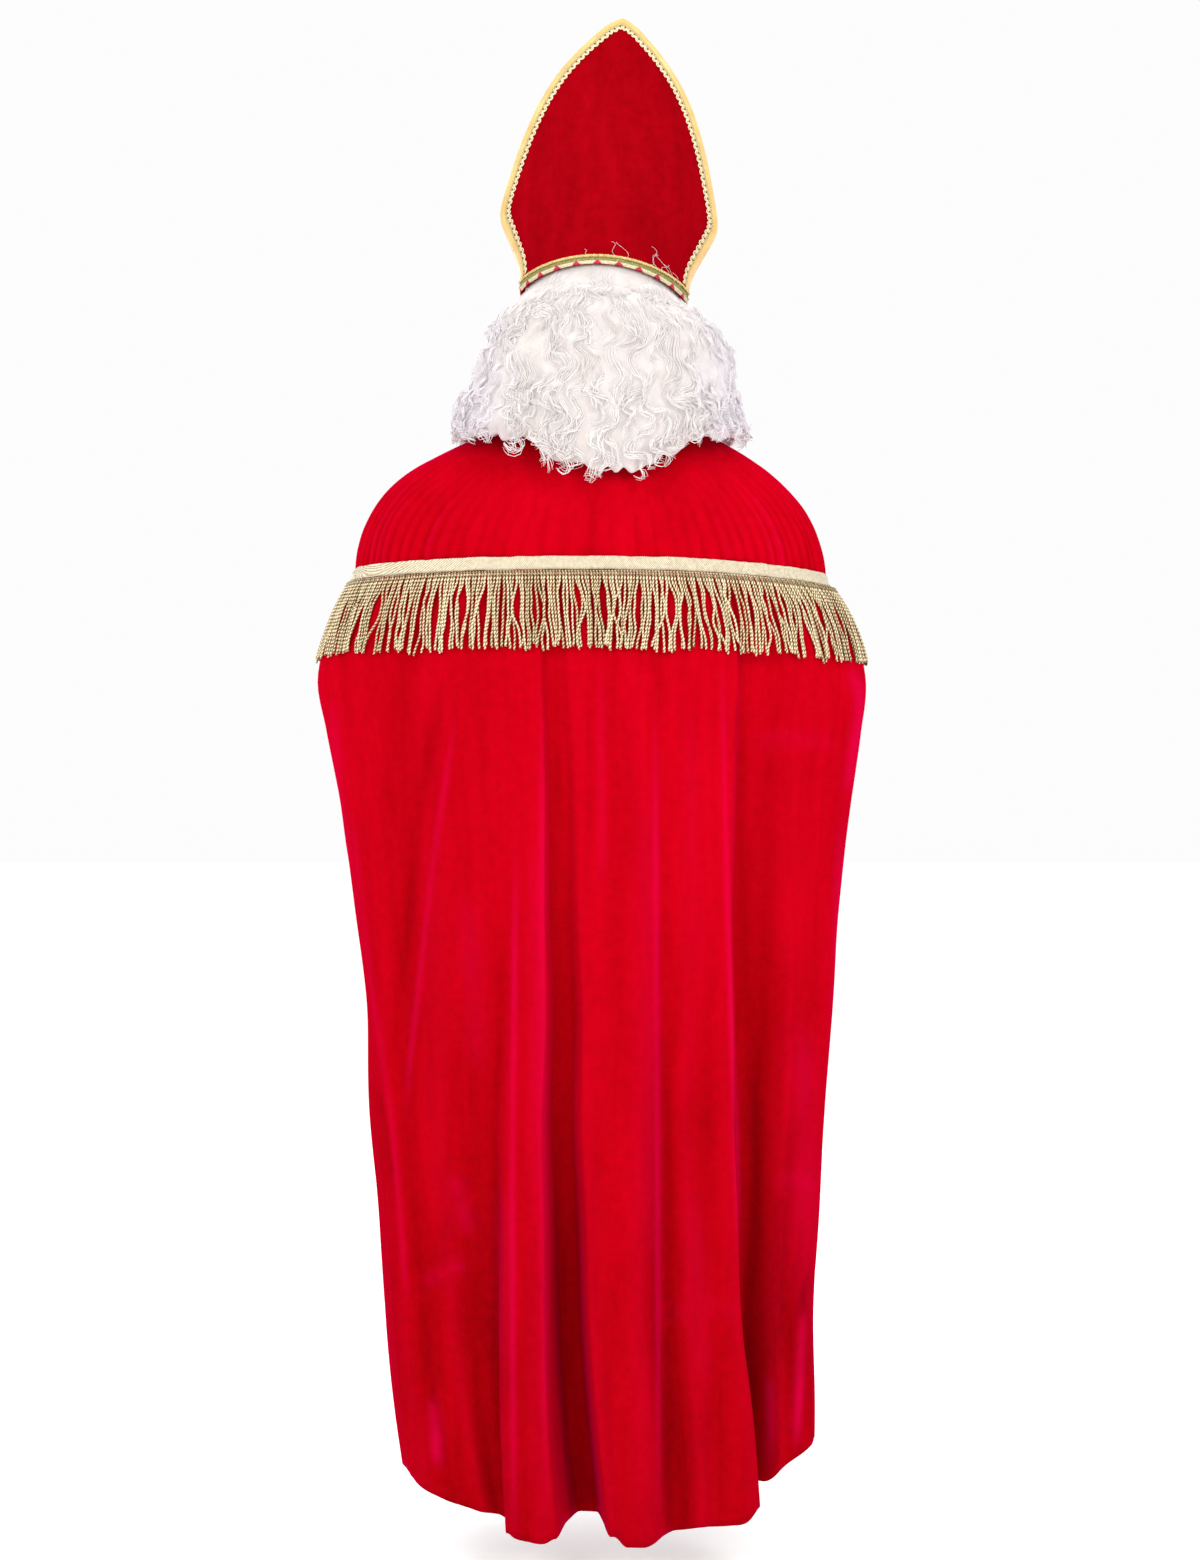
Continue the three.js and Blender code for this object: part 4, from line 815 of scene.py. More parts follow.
def body_cloth(c, v):
    P, N, deg, depth = body_form(c, v)
    z = P[..., 2]
    top = -190.0
    # small pleats under the seam that run out into the folds
    g = gathers(deg, 5)
    d = g * 0.9 * (1 - smooth(10, 330, top - z)) * smooth(-4, 14, top - z)
    arc = deg * 5.2
    d = d + 2.0 * noise(arc / 46 + 7, z / 420, 11) * smooth(0, 120, top - z)
    d = d + 1.1 * noise(arc / 21 + 3, z / 210 + 5, 12) * smooth(0, 120, top - z)
    d = d + 0.4 * noise(arc / 9, z / 60, 13)
    lift, stroke_shade, shine = stroke_field(P)
    back = smooth(-60, 20, P[..., 1])
    P = P + N * (d + lift * back)[..., None]
    return P, N, deg, depth, stroke_shade * back, shine * back, g * (1 - smooth(10, 420, top - z))


def fold_columns(a, b, n):
    """n columns between two rows of the fold table, evenly spaced along the hem's own length."""
    cs = np.linspace(a, b, 4000)
    P = body_form(cs, np.full(cs.shape, 0.75))[0]
    s = np.concatenate([[0], np.cumsum(np.linalg.norm(np.diff(P, axis=0), axis=1))])
    return np.interp(np.linspace(0, s[-1], n), s, cs)


def cape_panel(name, a, b, n, rows, seams):
    cs = fold_columns(HERE[a], HERE[b], n)
    vs = np.concatenate([np.linspace(0, 0.1, rows // 5, endpoint=False), np.linspace(0.1, 1, rows - rows // 5)])
    vs[0] = 0.0003
    C, Vv = np.meshgrid(cs, vs)
    P, N, deg, depth, stroke_shade, shine, g = body_cloth(C, Vv)
    if seams[0]:
        P[:, 0] += unit(P[:, 1] - P[:, 0]) * SEAM
    if seams[1]:
        P[:, -1] += unit(P[:, -2] - P[:, -1]) * SEAM
    # painted shade in the hollows of the folds, in the troughs of the gathers and along the creases, darker towards the
    # hem; painted highlight along the crests
    around = (depth[:, np.clip(np.arange(n) + 9, 0, n - 1)] + depth[:, np.clip(np.arange(n) - 9, 0, n - 1)]) / 2
    hollow = np.clip(depth / 60, 0, 1) * (1 - smooth(30, 38, deg) * (1 - smooth(80, 90, deg)))
    low = smooth(-420, -1320, P[..., 2])
    painted_shade = hollow * 0.14 + np.clip((depth - around) / 8, 0, 1) * 0.22 + stroke_shade + np.clip(-g, 0, 1) * 0.14 + low * 0.42
    crest = np.clip((around - depth) / 12, 0, 1) * 0.08 + shine
    o = shell(name, P, N, CLOTH, [MATS["velvet"], MATS["velvet_back"]],
              attrs={"painted_shade": np.clip(painted_shade, 0, 1), "shine": np.clip(crest, 0, 1)})
    return o


def yoke_panel(name, lo, hi, n, rows, seams):
    degs = np.linspace(hi, lo, n)
    vs = np.linspace(0, 0.9975, rows)
    D, Vv = np.meshgrid(degs, vs)
    P, N = yoke_form(D, Vv)
    arc = D * 5.2
    side = smooth(12, 60, np.abs(D))
    raw = gathers(D, 5)
    grow = smooth(mix(0.42, 0.22, side), 0.93, Vv)
    g = raw * mix(0.9, 1.9, side) * grow * (1 - 0.45 * smooth(0.965, 1.0, Vv))
    d = g + 1.3 * noise(arc / 60, Vv * 4, 21) * smooth(0.02, 0.2, Vv) + 0.4 * noise(arc / 14, Vv * 12, 22)
    P = P + N * (d - 0.9 * smooth(0.9, 1, Vv))[..., None]
    if seams[0]:
        P[:, 0] += unit(P[:, 1] - P[:, 0]) * SEAM
    if seams[1]:
        P[:, -1] += unit(P[:, -2] - P[:, -1]) * SEAM
    # painted shade in the troughs of the gathers and in the dip at the centre back, lighter across the middle of the
    # back; painted highlight on the gathers' ridges towards the sides
    o = shell(name, P, N, CLOTH, [MATS["velvet"], MATS["velvet_back"]],
              attrs={"painted_shade": np.clip(np.clip(-0.05 - raw, 0, 1) * 0.62 * grow * mix(0.55, 1.0, side) + 0.16 * np.exp(-((D + 0.5) / 1.6) ** 2) * smooth(0.3, 0.6, Vv) - 0.22 * np.exp(-(D / 20) ** 2), -0.3, 0.9),
                     "shine": np.clip((raw - 0.45) * 0.5 * grow * side, 0, 1)})
    return o, P


cape_back = cape_panel("cloth_cape_back", "left_seam", "right_seam", 300, 112, (1, 1))
cape_fl = cape_panel("cloth_cape_front_left", "left_front_edge", "left_seam", 90, 90, (0, 1))
cape_fr = cape_panel("cloth_cape_front_right", "right_seam", "right_front_edge", 90, 90, (1, 0))
yoke_back, yoke_pts = yoke_panel("cloth_yoke_back", -97, 97, 230, 44, (1, 1))
yoke_fl, _ = yoke_panel("cloth_yoke_front_left", 97, 171, 80, 40, (0, 1))
yoke_fr, _ = yoke_panel("cloth_yoke_front_right", -171, -97, 80, 40, (1, 0))
for o, n in ((cape_back, "cape_back"), (cape_fl, "cape_front_left"), (cape_fr, "cape_front_right"),
             (yoke_back, "yoke_back"), (yoke_fl, "yoke_front_left"), (yoke_fr, "yoke_front_right")):
    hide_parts(n)

# ------------------------------------------------------------------------------------------------ fringe
HALF = 170.6
degs_fine = np.linspace(-HALF, HALF, 1200)
edge_line = on_cape(degs_fine, BAND["height"], 3.0)
edge_s = np.concatenate([[0], np.cumsum(np.linalg.norm(np.diff(edge_line, axis=0), axis=1))])
TOTAL = edge_s[-1]
deg_of = lambda s: np.interp(s, edge_s, degs_fine)

# heading: a flat braid with a rounded section, and a folded join at the left side
n_run = 520
s_run = np.linspace(0, TOTAL, n_run)
dg = deg_of(s_run)
prof_d = np.array([0.0, 0.6, 3.0, 5.8, 8.7, 11.6, 14.4, 16.6, 17.3])
prof_h = np.array([0.9, 2.3, 2.9, 2.45, 2.9, 2.45, 2.9, 2.3, 0.9])
lap = smooth(76.0, 77.0, dg) * 1.4
wav = 0.35 * noise(s_run / 30, 0 * s_run, 31)
shift = 1.3 * smooth(76, 78, dg) - 0.6 * np.exp(-((dg - 74) / 2.2) ** 2)
D, K = np.meshgrid(dg, np.arange(len(prof_d)))
uneven = 0.55 * noise(s_run / 16, 0 * s_run, 33) + 0.3 * noise(s_run / 5, 0 * s_run, 34)
P = on_cape(D, prof_d[K] + (shift + uneven)[None, :], prof_h[K] + lap[None, :] + wav[None, :])
base = on_cape(D, prof_d[K] + (shift + uneven)[None, :], 0.85 + lap[None, :] * 0)
pts = np.concatenate([P.reshape(-1, 3), base.reshape(-1, 3)])
R, C = P.shape[:2]
fo = quads(R, C)
fi = fo[:, ::-1] + R * C
ring = np.concatenate([np.arange(C), np.arange(1, R) * C + C - 1, (R - 1) * C + np.arange(C - 2, -1, -1), np.arange(R - 2, 0, -1) * C])
nx = np.roll(ring, -1)
fr = np.stack([ring, ring + R * C, nx + R * C, nx], -1)
heading = new_object("fringe_heading_braid", pts, np.concatenate([fo[:, ::-1], fi[:, ::-1], fr[:, ::-1]]), [MATS["braid"]])
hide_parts("fringe_heading")

# cords: one every 4 mm, in uneven groups that lean and bow apart
pitch = 3.95
n_cord = int(TOTAL / pitch)
s0 = (np.arange(n_cord) + 0.5) * TOTAL / n_cord
g = np.random.default_rng(77)
K = 32
t = np.linspace(0, 1, K)[None, :]
lateral = np.zeros((n_cord, K))
up_here = smooth(0.12, 0.36, t) * (1 - smooth(0.5, 0.8, t))
for grip, sizes, most in ((up_here, [2, 2, 3, 3, 4, 5, 6], 0.52), (smooth(0.45, 0.95, t), [1, 2, 2, 3, 4, 5, 7], 0.34)):
    i = 0
    while i < n_cord:
        j = min(n_cord, i + int(g.choice(sizes)))
        centre = s0[i:j].mean()
        pull, lean = g.uniform(0.04, most), g.normal(0, 1.9)
        lateral[i:j] += (centre - s0[i:j])[:, None] * pull * grip + lean * grip
        i = j
lateral += 3.0 * noise(s0 / 60, 0 * s0, 73)[:, None] * t
lateral += g.normal(0, 1.2, n_cord)[:, None] * t + g.normal(0, 1.0, n_cord)[:, None] * np.sin(np.pi * t)
stray = g.random(n_cord) < 0.2
lateral += stray[:, None] * (g.normal(0, 6.0, n_cord)[:, None] * smooth(0.15, 1.0, t) + g.normal(0, 4, n_cord)[:, None] * np.sin(np.pi * smooth(0.1, 1, t)))
lateral += 2.0 * noise(t * g.uniform(3, 7, n_cord)[:, None] + 9, s0[:, None] / 2.3, 71) * smooth(0.05, 0.3, t)
length = 100.0 + g.normal(0, 2.2, n_cord)[:, None]
length[stray] -= np.abs(g.normal(0, 3, stray.sum()))[:, None]
length += 2.0 * noise(s0 / 45, 0 * s0, 72)[:, None]
down = BAND["height"] + 0.6 + t * length
sc = np.clip(s0[:, None] + lateral, 1, TOTAL - 1)
layer = np.where(np.arange(n_cord) % 2 == 0, 3.3, 4.3)[:, None]
lift = layer + g.normal(0, 0.25, n_cord)[:, None] + stray[:, None] * 1.3 * smooth(0.2, 0.7, t) - 0.8 * smooth(0.15, 0.0, t)
deg_c = deg_of(sc)
zc = band_top(deg_c) - down
px, py, nxx, nyy = plan_point(section(zc), deg_c)
paths = np.stack([px + nxx * lift, py + nyy * lift, zc], -1)
hi_pts = on_cape(deg_c[:, :2], down[:, :2], 0.0)
rad_c = np.full((n_cord, K), 1.52) * (1 + 0.04 * g.normal(0, 1, (n_cord, 1)))
rad_c = rad_c * np.where(np.arange(K) % 2, 1.13, 0.87)[None, :] * mix(0.8, 1, smooth(0, 0.05, t)) * np.where(t > 0.985, 0.6, 1) * np.where(t > 0.94, 1.25, 1)
outdir = unit(np.stack([nxx[:, 0], nyy[:, 0], 0 * nxx[:, 0]], -1))
is_back = np.abs(deg_of(s0)) <= 97
for nm, sel in (("fringe_cords_back", is_back), ("fringe_cords_front", ~is_back)):
    Vt, Ft, At = tubes(paths[sel], rad_c[sel], 5, tint=g.random(sel.sum()), ref=outdir[sel])
    o = new_object(nm, Vt, Ft, [MATS["fringe"]], attrs=At)
    if nm.endswith("back"):
        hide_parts("fringe")

# crocheted zone under the heading: rows of little knots
rows = 2
kn = int(TOTAL / 3.95)
ks = (np.arange(kn) + 0.5) * TOTAL / kn
KS, KR = np.meshgrid(ks, np.arange(rows))
KS = KS + np.where(KR % 2, 0.98, -0.98)
kd = BAND["height"] + 1.7 + KR * 3.7
kp = on_cape(deg_of(KS), kd, 5.5).reshape(-1, 3)
u_a, v_a = np.meshgrid(np.arange(5) * 2 * np.pi / 5, np.linspace(0.45, np.pi - 0.45, 3))
ball = np.stack([np.sin(v_a) * np.cos(u_a), np.sin(v_a) * np.sin(u_a), np.cos(v_a)], -1).reshape(-1, 3)
Vk = (kp[:, None] + ball[None] * np.array([1.35, 1.35, 1.35])).reshape(-1, 3)
qk = quads(3, 5, close=True)
nb = len(ball)
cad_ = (qk[None] + (np.arange(len(kp)) * nb)[:, None, None]).reshape(-1, 4)
cap0 = (np.arange(5)[::-1][None] + (np.arange(len(kp)) * nb)[:, None])
cap1 = (np.arange(5)[None] + 10 + (np.arange(len(kp)) * nb)[:, None])
# the knots take only the lighter half of the cord tones: painted light against the heading's shadow
knots = new_object("fringe_knots", Vk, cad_.tolist() + cap0.tolist() + cap1.tolist(), [MATS["fringe"]],
                   attrs={"tint": np.repeat(g.uniform(0.5, 1.0, len(kp)), nb), "ca": np.tile(ball[:, 0], len(kp)), "sa": np.tile(ball[:, 1], len(kp)), "run": np.tile(ball[:, 2] * 1.2, len(kp))})

# ------------------------------------------------------------------------------------------------ mitre
def rot(axis, a):
    c, s = math.cos(a), math.sin(a)
    return np.array([[1, 0, 0], [0, c, -s], [0, s, c]]) if axis == "x" else np.array([[c, 0, s], [0, 1, 0], [-s, 0, c]])


M3 = rot("y", math.radians(-MITRE["roll"])) @ rot("x", math.radians(MITRE["pitch"]))
to_world = lambda P: P @ M3.T + np.array(MITRE["at"], float)


def half_width(z):
    z = np.asarray(z, float)
    last = SHIELD[-1]
    top = last[1] * np.clip((MITRE["tip"] - z) / (MITRE["tip"] - last[0]), 0, 1) ** 0.8
    return np.where(z > last[0], top, column(SHIELD[:, 0], SHIELD[:, 1], z))


def shield_depth(t, z):
    mid = mix(MITRE["rimDepth"], MITRE["tipDepth"], z / MITRE["tip"])
    above = np.maximum(0, (z - MITRE["seamTop"]) / (MITRE["tip"] - MITRE["seamTop"]))
    edge = mix(MITRE["sideGap"], MITRE["tipDepth"], above ** 0.85)
    power = mix(0.56, 0.86, smooth(0, MITRE["seamTop"], z))
    return edge + (mid - edge) * np.maximum(0, 1 - t * t) ** power


def arch_lift(side, x, w, z):
    a = MITRE["archBack"] if side > 0 else MITRE["archFront"]
    return a * (1 - np.minimum(1, (x / np.maximum(w, 1e-6)) ** 2)) * np.maximum(0, 1 - z / 100)


def shield_at(side, x, z):
    """Point of a shield's outer face over (x, z) of its outline plane."""
    w = np.maximum(half_width(z), 0.3)
    t = np.clip(x / w, -1, 1)
    return np.stack([x + 0 * z, side * shield_depth(t, z), z + arch_lift(side, x, w, z)], -1)


def shield_normal(side, x, z):
    w = half_width(z)
    xs = np.clip(x, -np.maximum(w - 3.5, 0), np.maximum(w - 3.5, 0))
    zs = np.clip(z, 2, MITRE["tip"] - 9)
    e = 1.0
    du = shield_at(side, xs + e, zs) - shield_at(side, xs - e, zs)
    dv = shield_at(side, xs, zs + e) - shield_at(side, xs, zs - e)
    n = unit(np.cross(du, dv))
    n[n[..., 1] * side < 0] *= -1
    return n


def outline(n):
    """Left rim end, up over the tip, down to the right rim end: point, inward direction and running length."""
    zz = np.linspace(0, MITRE["tip"], 900)
    ww = half_width(zz)
    L = np.stack([ww, zz], -1)
    full = np.concatenate([L, (L * [-1, 1])[::-1][1:]])
    s = np.concatenate([[0], np.cumsum(np.linalg.norm(np.diff(full, axis=0), axis=1))])
    si = np.linspace(0, s[-1], n)
    return si, np.stack([np.interp(si, s, full[:, 0]), np.interp(si, s, full[:, 1])], -1), s[-1]


def inward(p):
    t = unit(np.gradient(p, axis=0))
    n = np.stack([-t[:, 1], t[:, 0]], -1)
    # the path goes up the left (+x) side first, so the inside is towards -x there
    return n


def on_shield(side, p, nrm_in, inset, height):
    """Points inset from the outline and lifted off the face. The strips narrow where the side turns away."""
    q = p + nrm_in * (np.asarray(inset) * mix(0.66, 1, smooth(16, 116, p[:, 1])))[..., None]
    near_tip = np.sign(q[..., 0]) * np.sign(p[..., 0]) < 0
    q[near_tip, 0] = 0
    P = shield_at(side, q[..., 0], np.minimum(q[..., 1], MITRE["tip"] - 0.2))
    P[..., 2] += np.maximum(0, q[..., 1] - (MITRE["tip"] - 0.2))
    N = shield_normal(side, q[..., 0], q[..., 1])
    # past the edge the strip leaves along the outline's own plane
    w = half_width(np.minimum(q[..., 1], MITRE["tip"]))
    over = np.maximum(0, np.abs(q[..., 0]) - w)
    return P + N * np.asarray(height)[..., None]


mitre_objs = []
FOLD_IN = 6.6  # how far the binding reaches over the face
for nm, side in (("back", 1), ("front", -1)):
    # velvet face with its stiffening
    ts = np.sin(np.linspace(-1, 1, 91) * np.pi / 2) * 0.75 + np.linspace(-1, 1, 91) * 0.25
    zs = np.concatenate([np.linspace(0, 330, 90), np.linspace(333, MITRE["tip"] - 0.6, 22)])
    T_, Z_ = np.meshgrid(ts, zs)
    W_ = half_width(Z_)
    X_ = T_ * (W_ - 0.3)
    P = shield_at(side, X_, Z_)
    N = shield_normal(side, X_, Z_)
    soft = 0.7 * noise(X_ / 34, Z_ / 60, 41 + side) * (1 - T_ ** 2)
    if side > 0:  # one faint slanting crease low on the left
        d = np.abs((X_ - 62) * 0.62 + (Z_ - 62) * -0.78)
        along = (X_ - 62) * 0.78 + (Z_ - 62) * 0.62
        soft = soft + 1.2 * np.exp(-(d / 3.0) ** 2) * smooth(-34, -10, along) * (1 - smooth(14, 34, along))
    P = P + N * soft[..., None]
    o = shell("mitre_shield_" + nm, to_world(P), N @ M3.T, FELT - 0.2, [MATS["velvet_mitre"], MATS["velvet_back"]],
              attrs={"painted_shade": 0 * soft}, N=N @ M3.T)
    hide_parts("mitre_" + nm)
    mitre_objs.append(o)

    # binding folded over the edge
    n = 460
    si, p, total = outline(n)
    ni = inward(p)
    p[:, 1] = np.maximum(p[:, 1], 0)
    keep = (p[:, 1] > TRIM["rim"] + 0.7)
    p, ni, si = p[keep], ni[keep], si[keep]
    low = 1 - smooth(MITRE["seamTop"] - 14, MITRE["seamTop"] + 8, p[:, 1])  # no room inside the side seam
    ring = []
    flap = mix(7.0, 0.6, low)
    for ins, h in ((FOLD_IN, 0.5), (FOLD_IN - 0.4, 1.1), (4.6, 1.5), (2.8, 1.55), (1.0, 1.3), (-0.2, 0.9),
                   (-0.8, 0.0), (-0.8, None), (-0.2, -1.0), (2.0, -1.3), (1.0, -1.2)):
        if h is None:
            inset, hh = np.full(len(p), ins), -FELT * 0.6 * (1 - 0.5 * low)
        elif h < 0 and ins == -0.2:
            inset, hh = np.full(len(p), ins), -(FELT + 0.9) * (1 - 0.6 * low)
        elif h < 0 and ins == 2.0:
            inset, hh = flap, -(FELT + 1.0) * (1 - 0.6 * low)
        elif h < 0:
            inset, hh = np.maximum(flap - 0.8, 0.3), -(FELT + 0.1) * (1 - 0.75 * low)
        else:
            inset, hh = np.full(len(p), ins), np.full(len(p), h)
        ring.append(on_shield(side, p, ni, inset, hh))
    ring.append(on_shield(side, p, ni, np.full(len(p), 0.4), -FELT * 0.5 * (1 - 0.6 * low)))
    ring.append(on_shield(side, p, ni, np.full(len(p), 1.0), np.full(len(p), 0.35)))
    ringP = np.stack(ring, 1)
    A, B = ringP.shape[:2]
    fb = quads(A, B, close=True)
    caps = [list(range(B))[::-1], [(A - 1) * B + k for k in range(B)]]
    o = new_object("mitre_binding_fold_" + nm, to_world(ringP.reshape(-1, 3)), fb.tolist() + caps, [MATS["binding"]])
    me = o.data
    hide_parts("mitre_binding_" + nm)
    mitre_objs.append(o)

    # lace braid: two crossing threads with holes between them, and a row of scallops on the inner side
    n = 900
    si, p, total = outline(n)
    ni = inward(p)
    keep = (p[:, 1] > TRIM["rim"] + 2.0)
    p, ni, si = p[keep], ni[keep], si[keep]
    a = 2 * np.pi * si / 8.8
    b0 = FOLD_IN + 1.3
    strands = [
        on_shield(side, p, ni, b0 + 0.9 * np.sin(a), 1.2 + 0.35 * np.cos(a)),
        on_shield(side, p, ni, b0 - 0.9 * np.sin(a), 1.2 - 0.35 * np.cos(a)),
        on_shield(side, p, ni, b0 + 3.0 + 3.4 * np.abs(np.sin(a / 2)) ** 0.75, 1.15 + 0.2 * np.sin(a)),
        on_shield(side, p, ni, b0 + 2.9 + 1.5 * np.abs(np.sin(a / 2)), 1.15 + 0 * a),
    ]
    Vs, Fs, At = tubes(to_world(np.stack(strands)), np.stack([np.full(len(p), r) for r in (0.6, 0.6, 0.85, 0.8)]), 4,
                       tint=np.array([0.1, 0.25, 0.95, 0.7]))
    acr = (-1.4, 0.4, 1.2, 2.0, 2.8, 4.4)
    pick = slice(None, None, 2)
    strip = np.stack([on_shield(side, p[pick], ni[pick], b0 + k + 0 * si[pick], np.full(len(p[pick]), 0.62)) for k in acr], 1)
    stripN = np.broadcast_to((shield_normal(side, p[pick, 0], p[pick, 1]))[:, None], strip.shape)
    o = new_object("mitre_lace_" + nm, Vs, Fs, [MATS["lace"]], attrs=At)
    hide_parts("mitre_braid_" + nm)
    s_o = shell("mitre_lace_ground_" + nm, to_world(strip), stripN @ M3.T, 0.35, [MATS["lace_ground"]],
                attrs={"across": np.broadcast_to(acr, strip.shape[:2]), "run": np.broadcast_to(si[pick][:, None], strip.shape[:2])})
    mitre_objs += [o, s_o]

    # rim braid with its twisted cord
    xr = np.linspace(-0.992, 0.992, 300)
    w0 = float(half_width(0.0))
    up = np.array([-0.6, 0.3, 3.0, 6.5, 10.0, 11.5])
    hgt = np.array([0.5, 1.6, 1.8, 1.9, 1.8, 0.5])
    Xr, Kr = np.meshgrid(xr, np.arange(len(up)))
    Wr = half_width(np.maximum(up[Kr], 0))
    Pr = shield_at(side, Xr * Wr, np.maximum(up[Kr], 0))
    Pr[..., 2] += np.minimum(up[Kr], 0)
    Nr = shield_normal(side, Xr * Wr, np.maximum(up[Kr], 0.0))
    Po = Pr + Nr * hgt[Kr][..., None]
    Pb = Pr + Nr * 0.3
    run = np.concatenate([[0], np.cumsum(np.linalg.norm(np.diff(Pr[2], axis=0), axis=1))])
    run = run - run[-1] / 2 + 14 + (4 if side > 0 else 0)
    R, C = Po.shape[:2]
    fo = quads(R, C)
    pp = Po.reshape(-1, 3)
    outw = np.sum(np.cross(pp[fo[:, 2]] - pp[fo[:, 0]], pp[fo[:, 3]] - pp[fo[:, 1]]) * Nr.reshape(-1, 3)[fo[:, 0]], -1).sum() > 0
    if not outw:
        fo = fo[:, ::-1]
    fi = fo[:, ::-1] + R * C
    rg = np.concatenate([np.arange(C), np.arange(1, R) * C + C - 1, (R - 1) * C + np.arange(C - 2, -1, -1), np.arange(R - 2, 0, -1) * C])
    rn = np.roll(rg, -1)
    fr = np.stack([rg, rn, rn + R * C, rg + R * C], -1)
    if outw:
        fr = fr[:, ::-1]
    o = new_object("mitre_rim_braid_" + nm, to_world(np.concatenate([pp, Pb.reshape(-1, 3)])), np.concatenate([fo, fi, fr]),
                   [MATS["rim"]], attrs={"run": np.tile(np.abs(np.broadcast_to(run, Xr.shape)).ravel() * 0 + np.broadcast_to(run + 280, Xr.shape).ravel(), 2),
                                         "up": np.tile(((up[Kr] + 0.6) / 12.1).ravel(), 2)})
    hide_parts("mitre_rim_" + nm)
    mitre_objs.append(o)
    xc = np.linspace(-0.995, 0.995, 700)
    core_z = 13.0
    core = shield_at(side, xc * float(half_width(core_z)), np.full(xc.shape, core_z))
    cn = shield_normal(side, xc * float(half_width(core_z)), np.full(xc.shape, core_z))
    core = core + cn * 1.9
    run_c = np.concatenate([[0], np.cumsum(np.linalg.norm(np.diff(core, axis=0), axis=1))])
    upv = unit(np.cross(np.gradient(core, axis=0), cn))
    plies = [core + 0.95 * (np.cos(2 * np.pi * run_c / 7.4 + k * np.pi)[:, None] * cn + np.sin(2 * np.pi * run_c / 7.4 + k * np.pi)[:, None] * upv) for k in (0, 1)]
    Vs, Fs, At = tubes(to_world(np.stack(plies)), np.full((2, len(xc)), 1.15), 4, tint=np.array([0.5, 0.9]))
    o = new_object("mitre_rim_cord_" + nm, Vs, Fs, [MATS["cord"]], attrs=At)
    mitre_objs.append(o)

# crown: soft cloth sunk between the shields
valley_z = MITRE["seamTop"] + 8
xs_c = np.linspace(-127, 127, 81)


def crown_top(x):
    lo, hi = np.full(x.shape, MITRE["seamTop"] + 8.0), np.full(x.shape, MITRE["tip"] - 16.0)
    for _ in range(30):
        mid = (lo + hi) / 2
        wide = half_width(mid) - 10 > np.abs(x)
        lo, hi = np.where(wide, mid, lo), np.where(wide, hi, mid)
    return lo


rows_c = [(s, u) for s, us in ((1, np.linspace(1, 0, 16)), (-1, np.linspace(0, 1, 16))) for u in us]
zt = crown_top(xs_c)
G = []
for s, u in rows_c:
    z = mix(valley_z, zt, u)
    room = shield_depth(np.minimum(0.99, (np.abs(xs_c) + 3) / half_width(z)), z) - FELT - 2.6
    y = s * np.minimum(mix(2, room, u), room) - s * 0.6
    sag = 3.5 * math.sin(math.pi * u) * noise(xs_c / 22, np.full(xs_c.shape, u * 2 + s * 5), 51)
    y = y - s * np.clip(sag + 2.0 * math.sin(math.pi * u), 0, 8) * np.clip((room - 4) / 20, 0, 1)
    G.append(np.stack([xs_c, y, z], -1))
G = np.stack(G)
# painted shade: the whole crown cloth, sunk between the shields, is darkened evenly
o = shell("mitre_crown_cloth", to_world(G), np.broadcast_to(M3 @ np.array([0, 0, 1.0]), G.shape), 1.0,
          [MATS["velvet_mitre"], MATS["velvet_back"]], attrs={"painted_shade": np.full(G.shape[:2], 0.2)})
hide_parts("mitre_crown")

# ------------------------------------------------------------------------------------------------ wig
def hair_form(h, deg, out=0.0):
    hc = np.clip(h, 0, len(HAIR) - 1)
    zs_, zb_, l_, r_, b_, f_ = [column(np.arange(len(HAIR)), HAIR[:, k], hc) for k in range(6)]
    past = np.maximum(0, h - (len(HAIR) - 1))
    s2 = np.sin(np.radians(np.minimum(90, np.abs(deg)))) ** 2
    x, y, nx, ny = plan_point((l_, r_, b_, f_, 2.1 + 0 * hc), deg)
    z = mix(zb_, zs_, s2) - past * 34
    return np.stack([x + nx * out, y + ny * out, z], -1), np.stack([nx, ny, 0 * nx], -1)


# rows of the hair's outer form: out from under the mitre's rim, then down the rows of the table
HD = np.arange(-HAIR_FRONT, HAIR_FRONT + 1, 1.0)


def under_rim(z, inset):
    w = half_width(np.maximum(z, 0)) - inset
    x = np.sin(np.radians(HD)) * w
    side = np.where(np.abs(HD) <= 90, 1, -1)
    zz = np.full(HD.shape, max(z, 0.0))
    y = side * np.maximum(shield_depth(np.sin(np.radians(HD)), zz) - inset, 0)
    lift = np.where(side > 0, MITRE["archBack"], MITRE["archFront"]) * (1 - np.sin(np.radians(HD)) ** 2)
    return to_world(np.stack([x, y, zz + lift + min(z, 0)], -1))


ROWS = [under_rim(26.0, 9.0), under_rim(6.0, 5.5), under_rim(-6.0, 0.5)]
ROW_H = [2.0, 2.4, 2.8] + list(np.arange(3.0, 9.6, 0.5))
for h in ROW_H:
    ROWS.append(hair_form(np.full(HD.shape, float(h)), HD)[0])
HT = np.stack(ROWS)
HT[3:6] = (HT[2:5] + 2 * HT[3:6] + HT[4:7]) / 4
HN = grid_normals(HT, HT - np.array([HEAD["x"], HEAD["y"], 90.0]))
for _ in range(3):
    HN[1:-1] = unit(HN[:-2] + 2 * HN[1:-1] + HN[2:])
LAST = len(ROWS) - 1


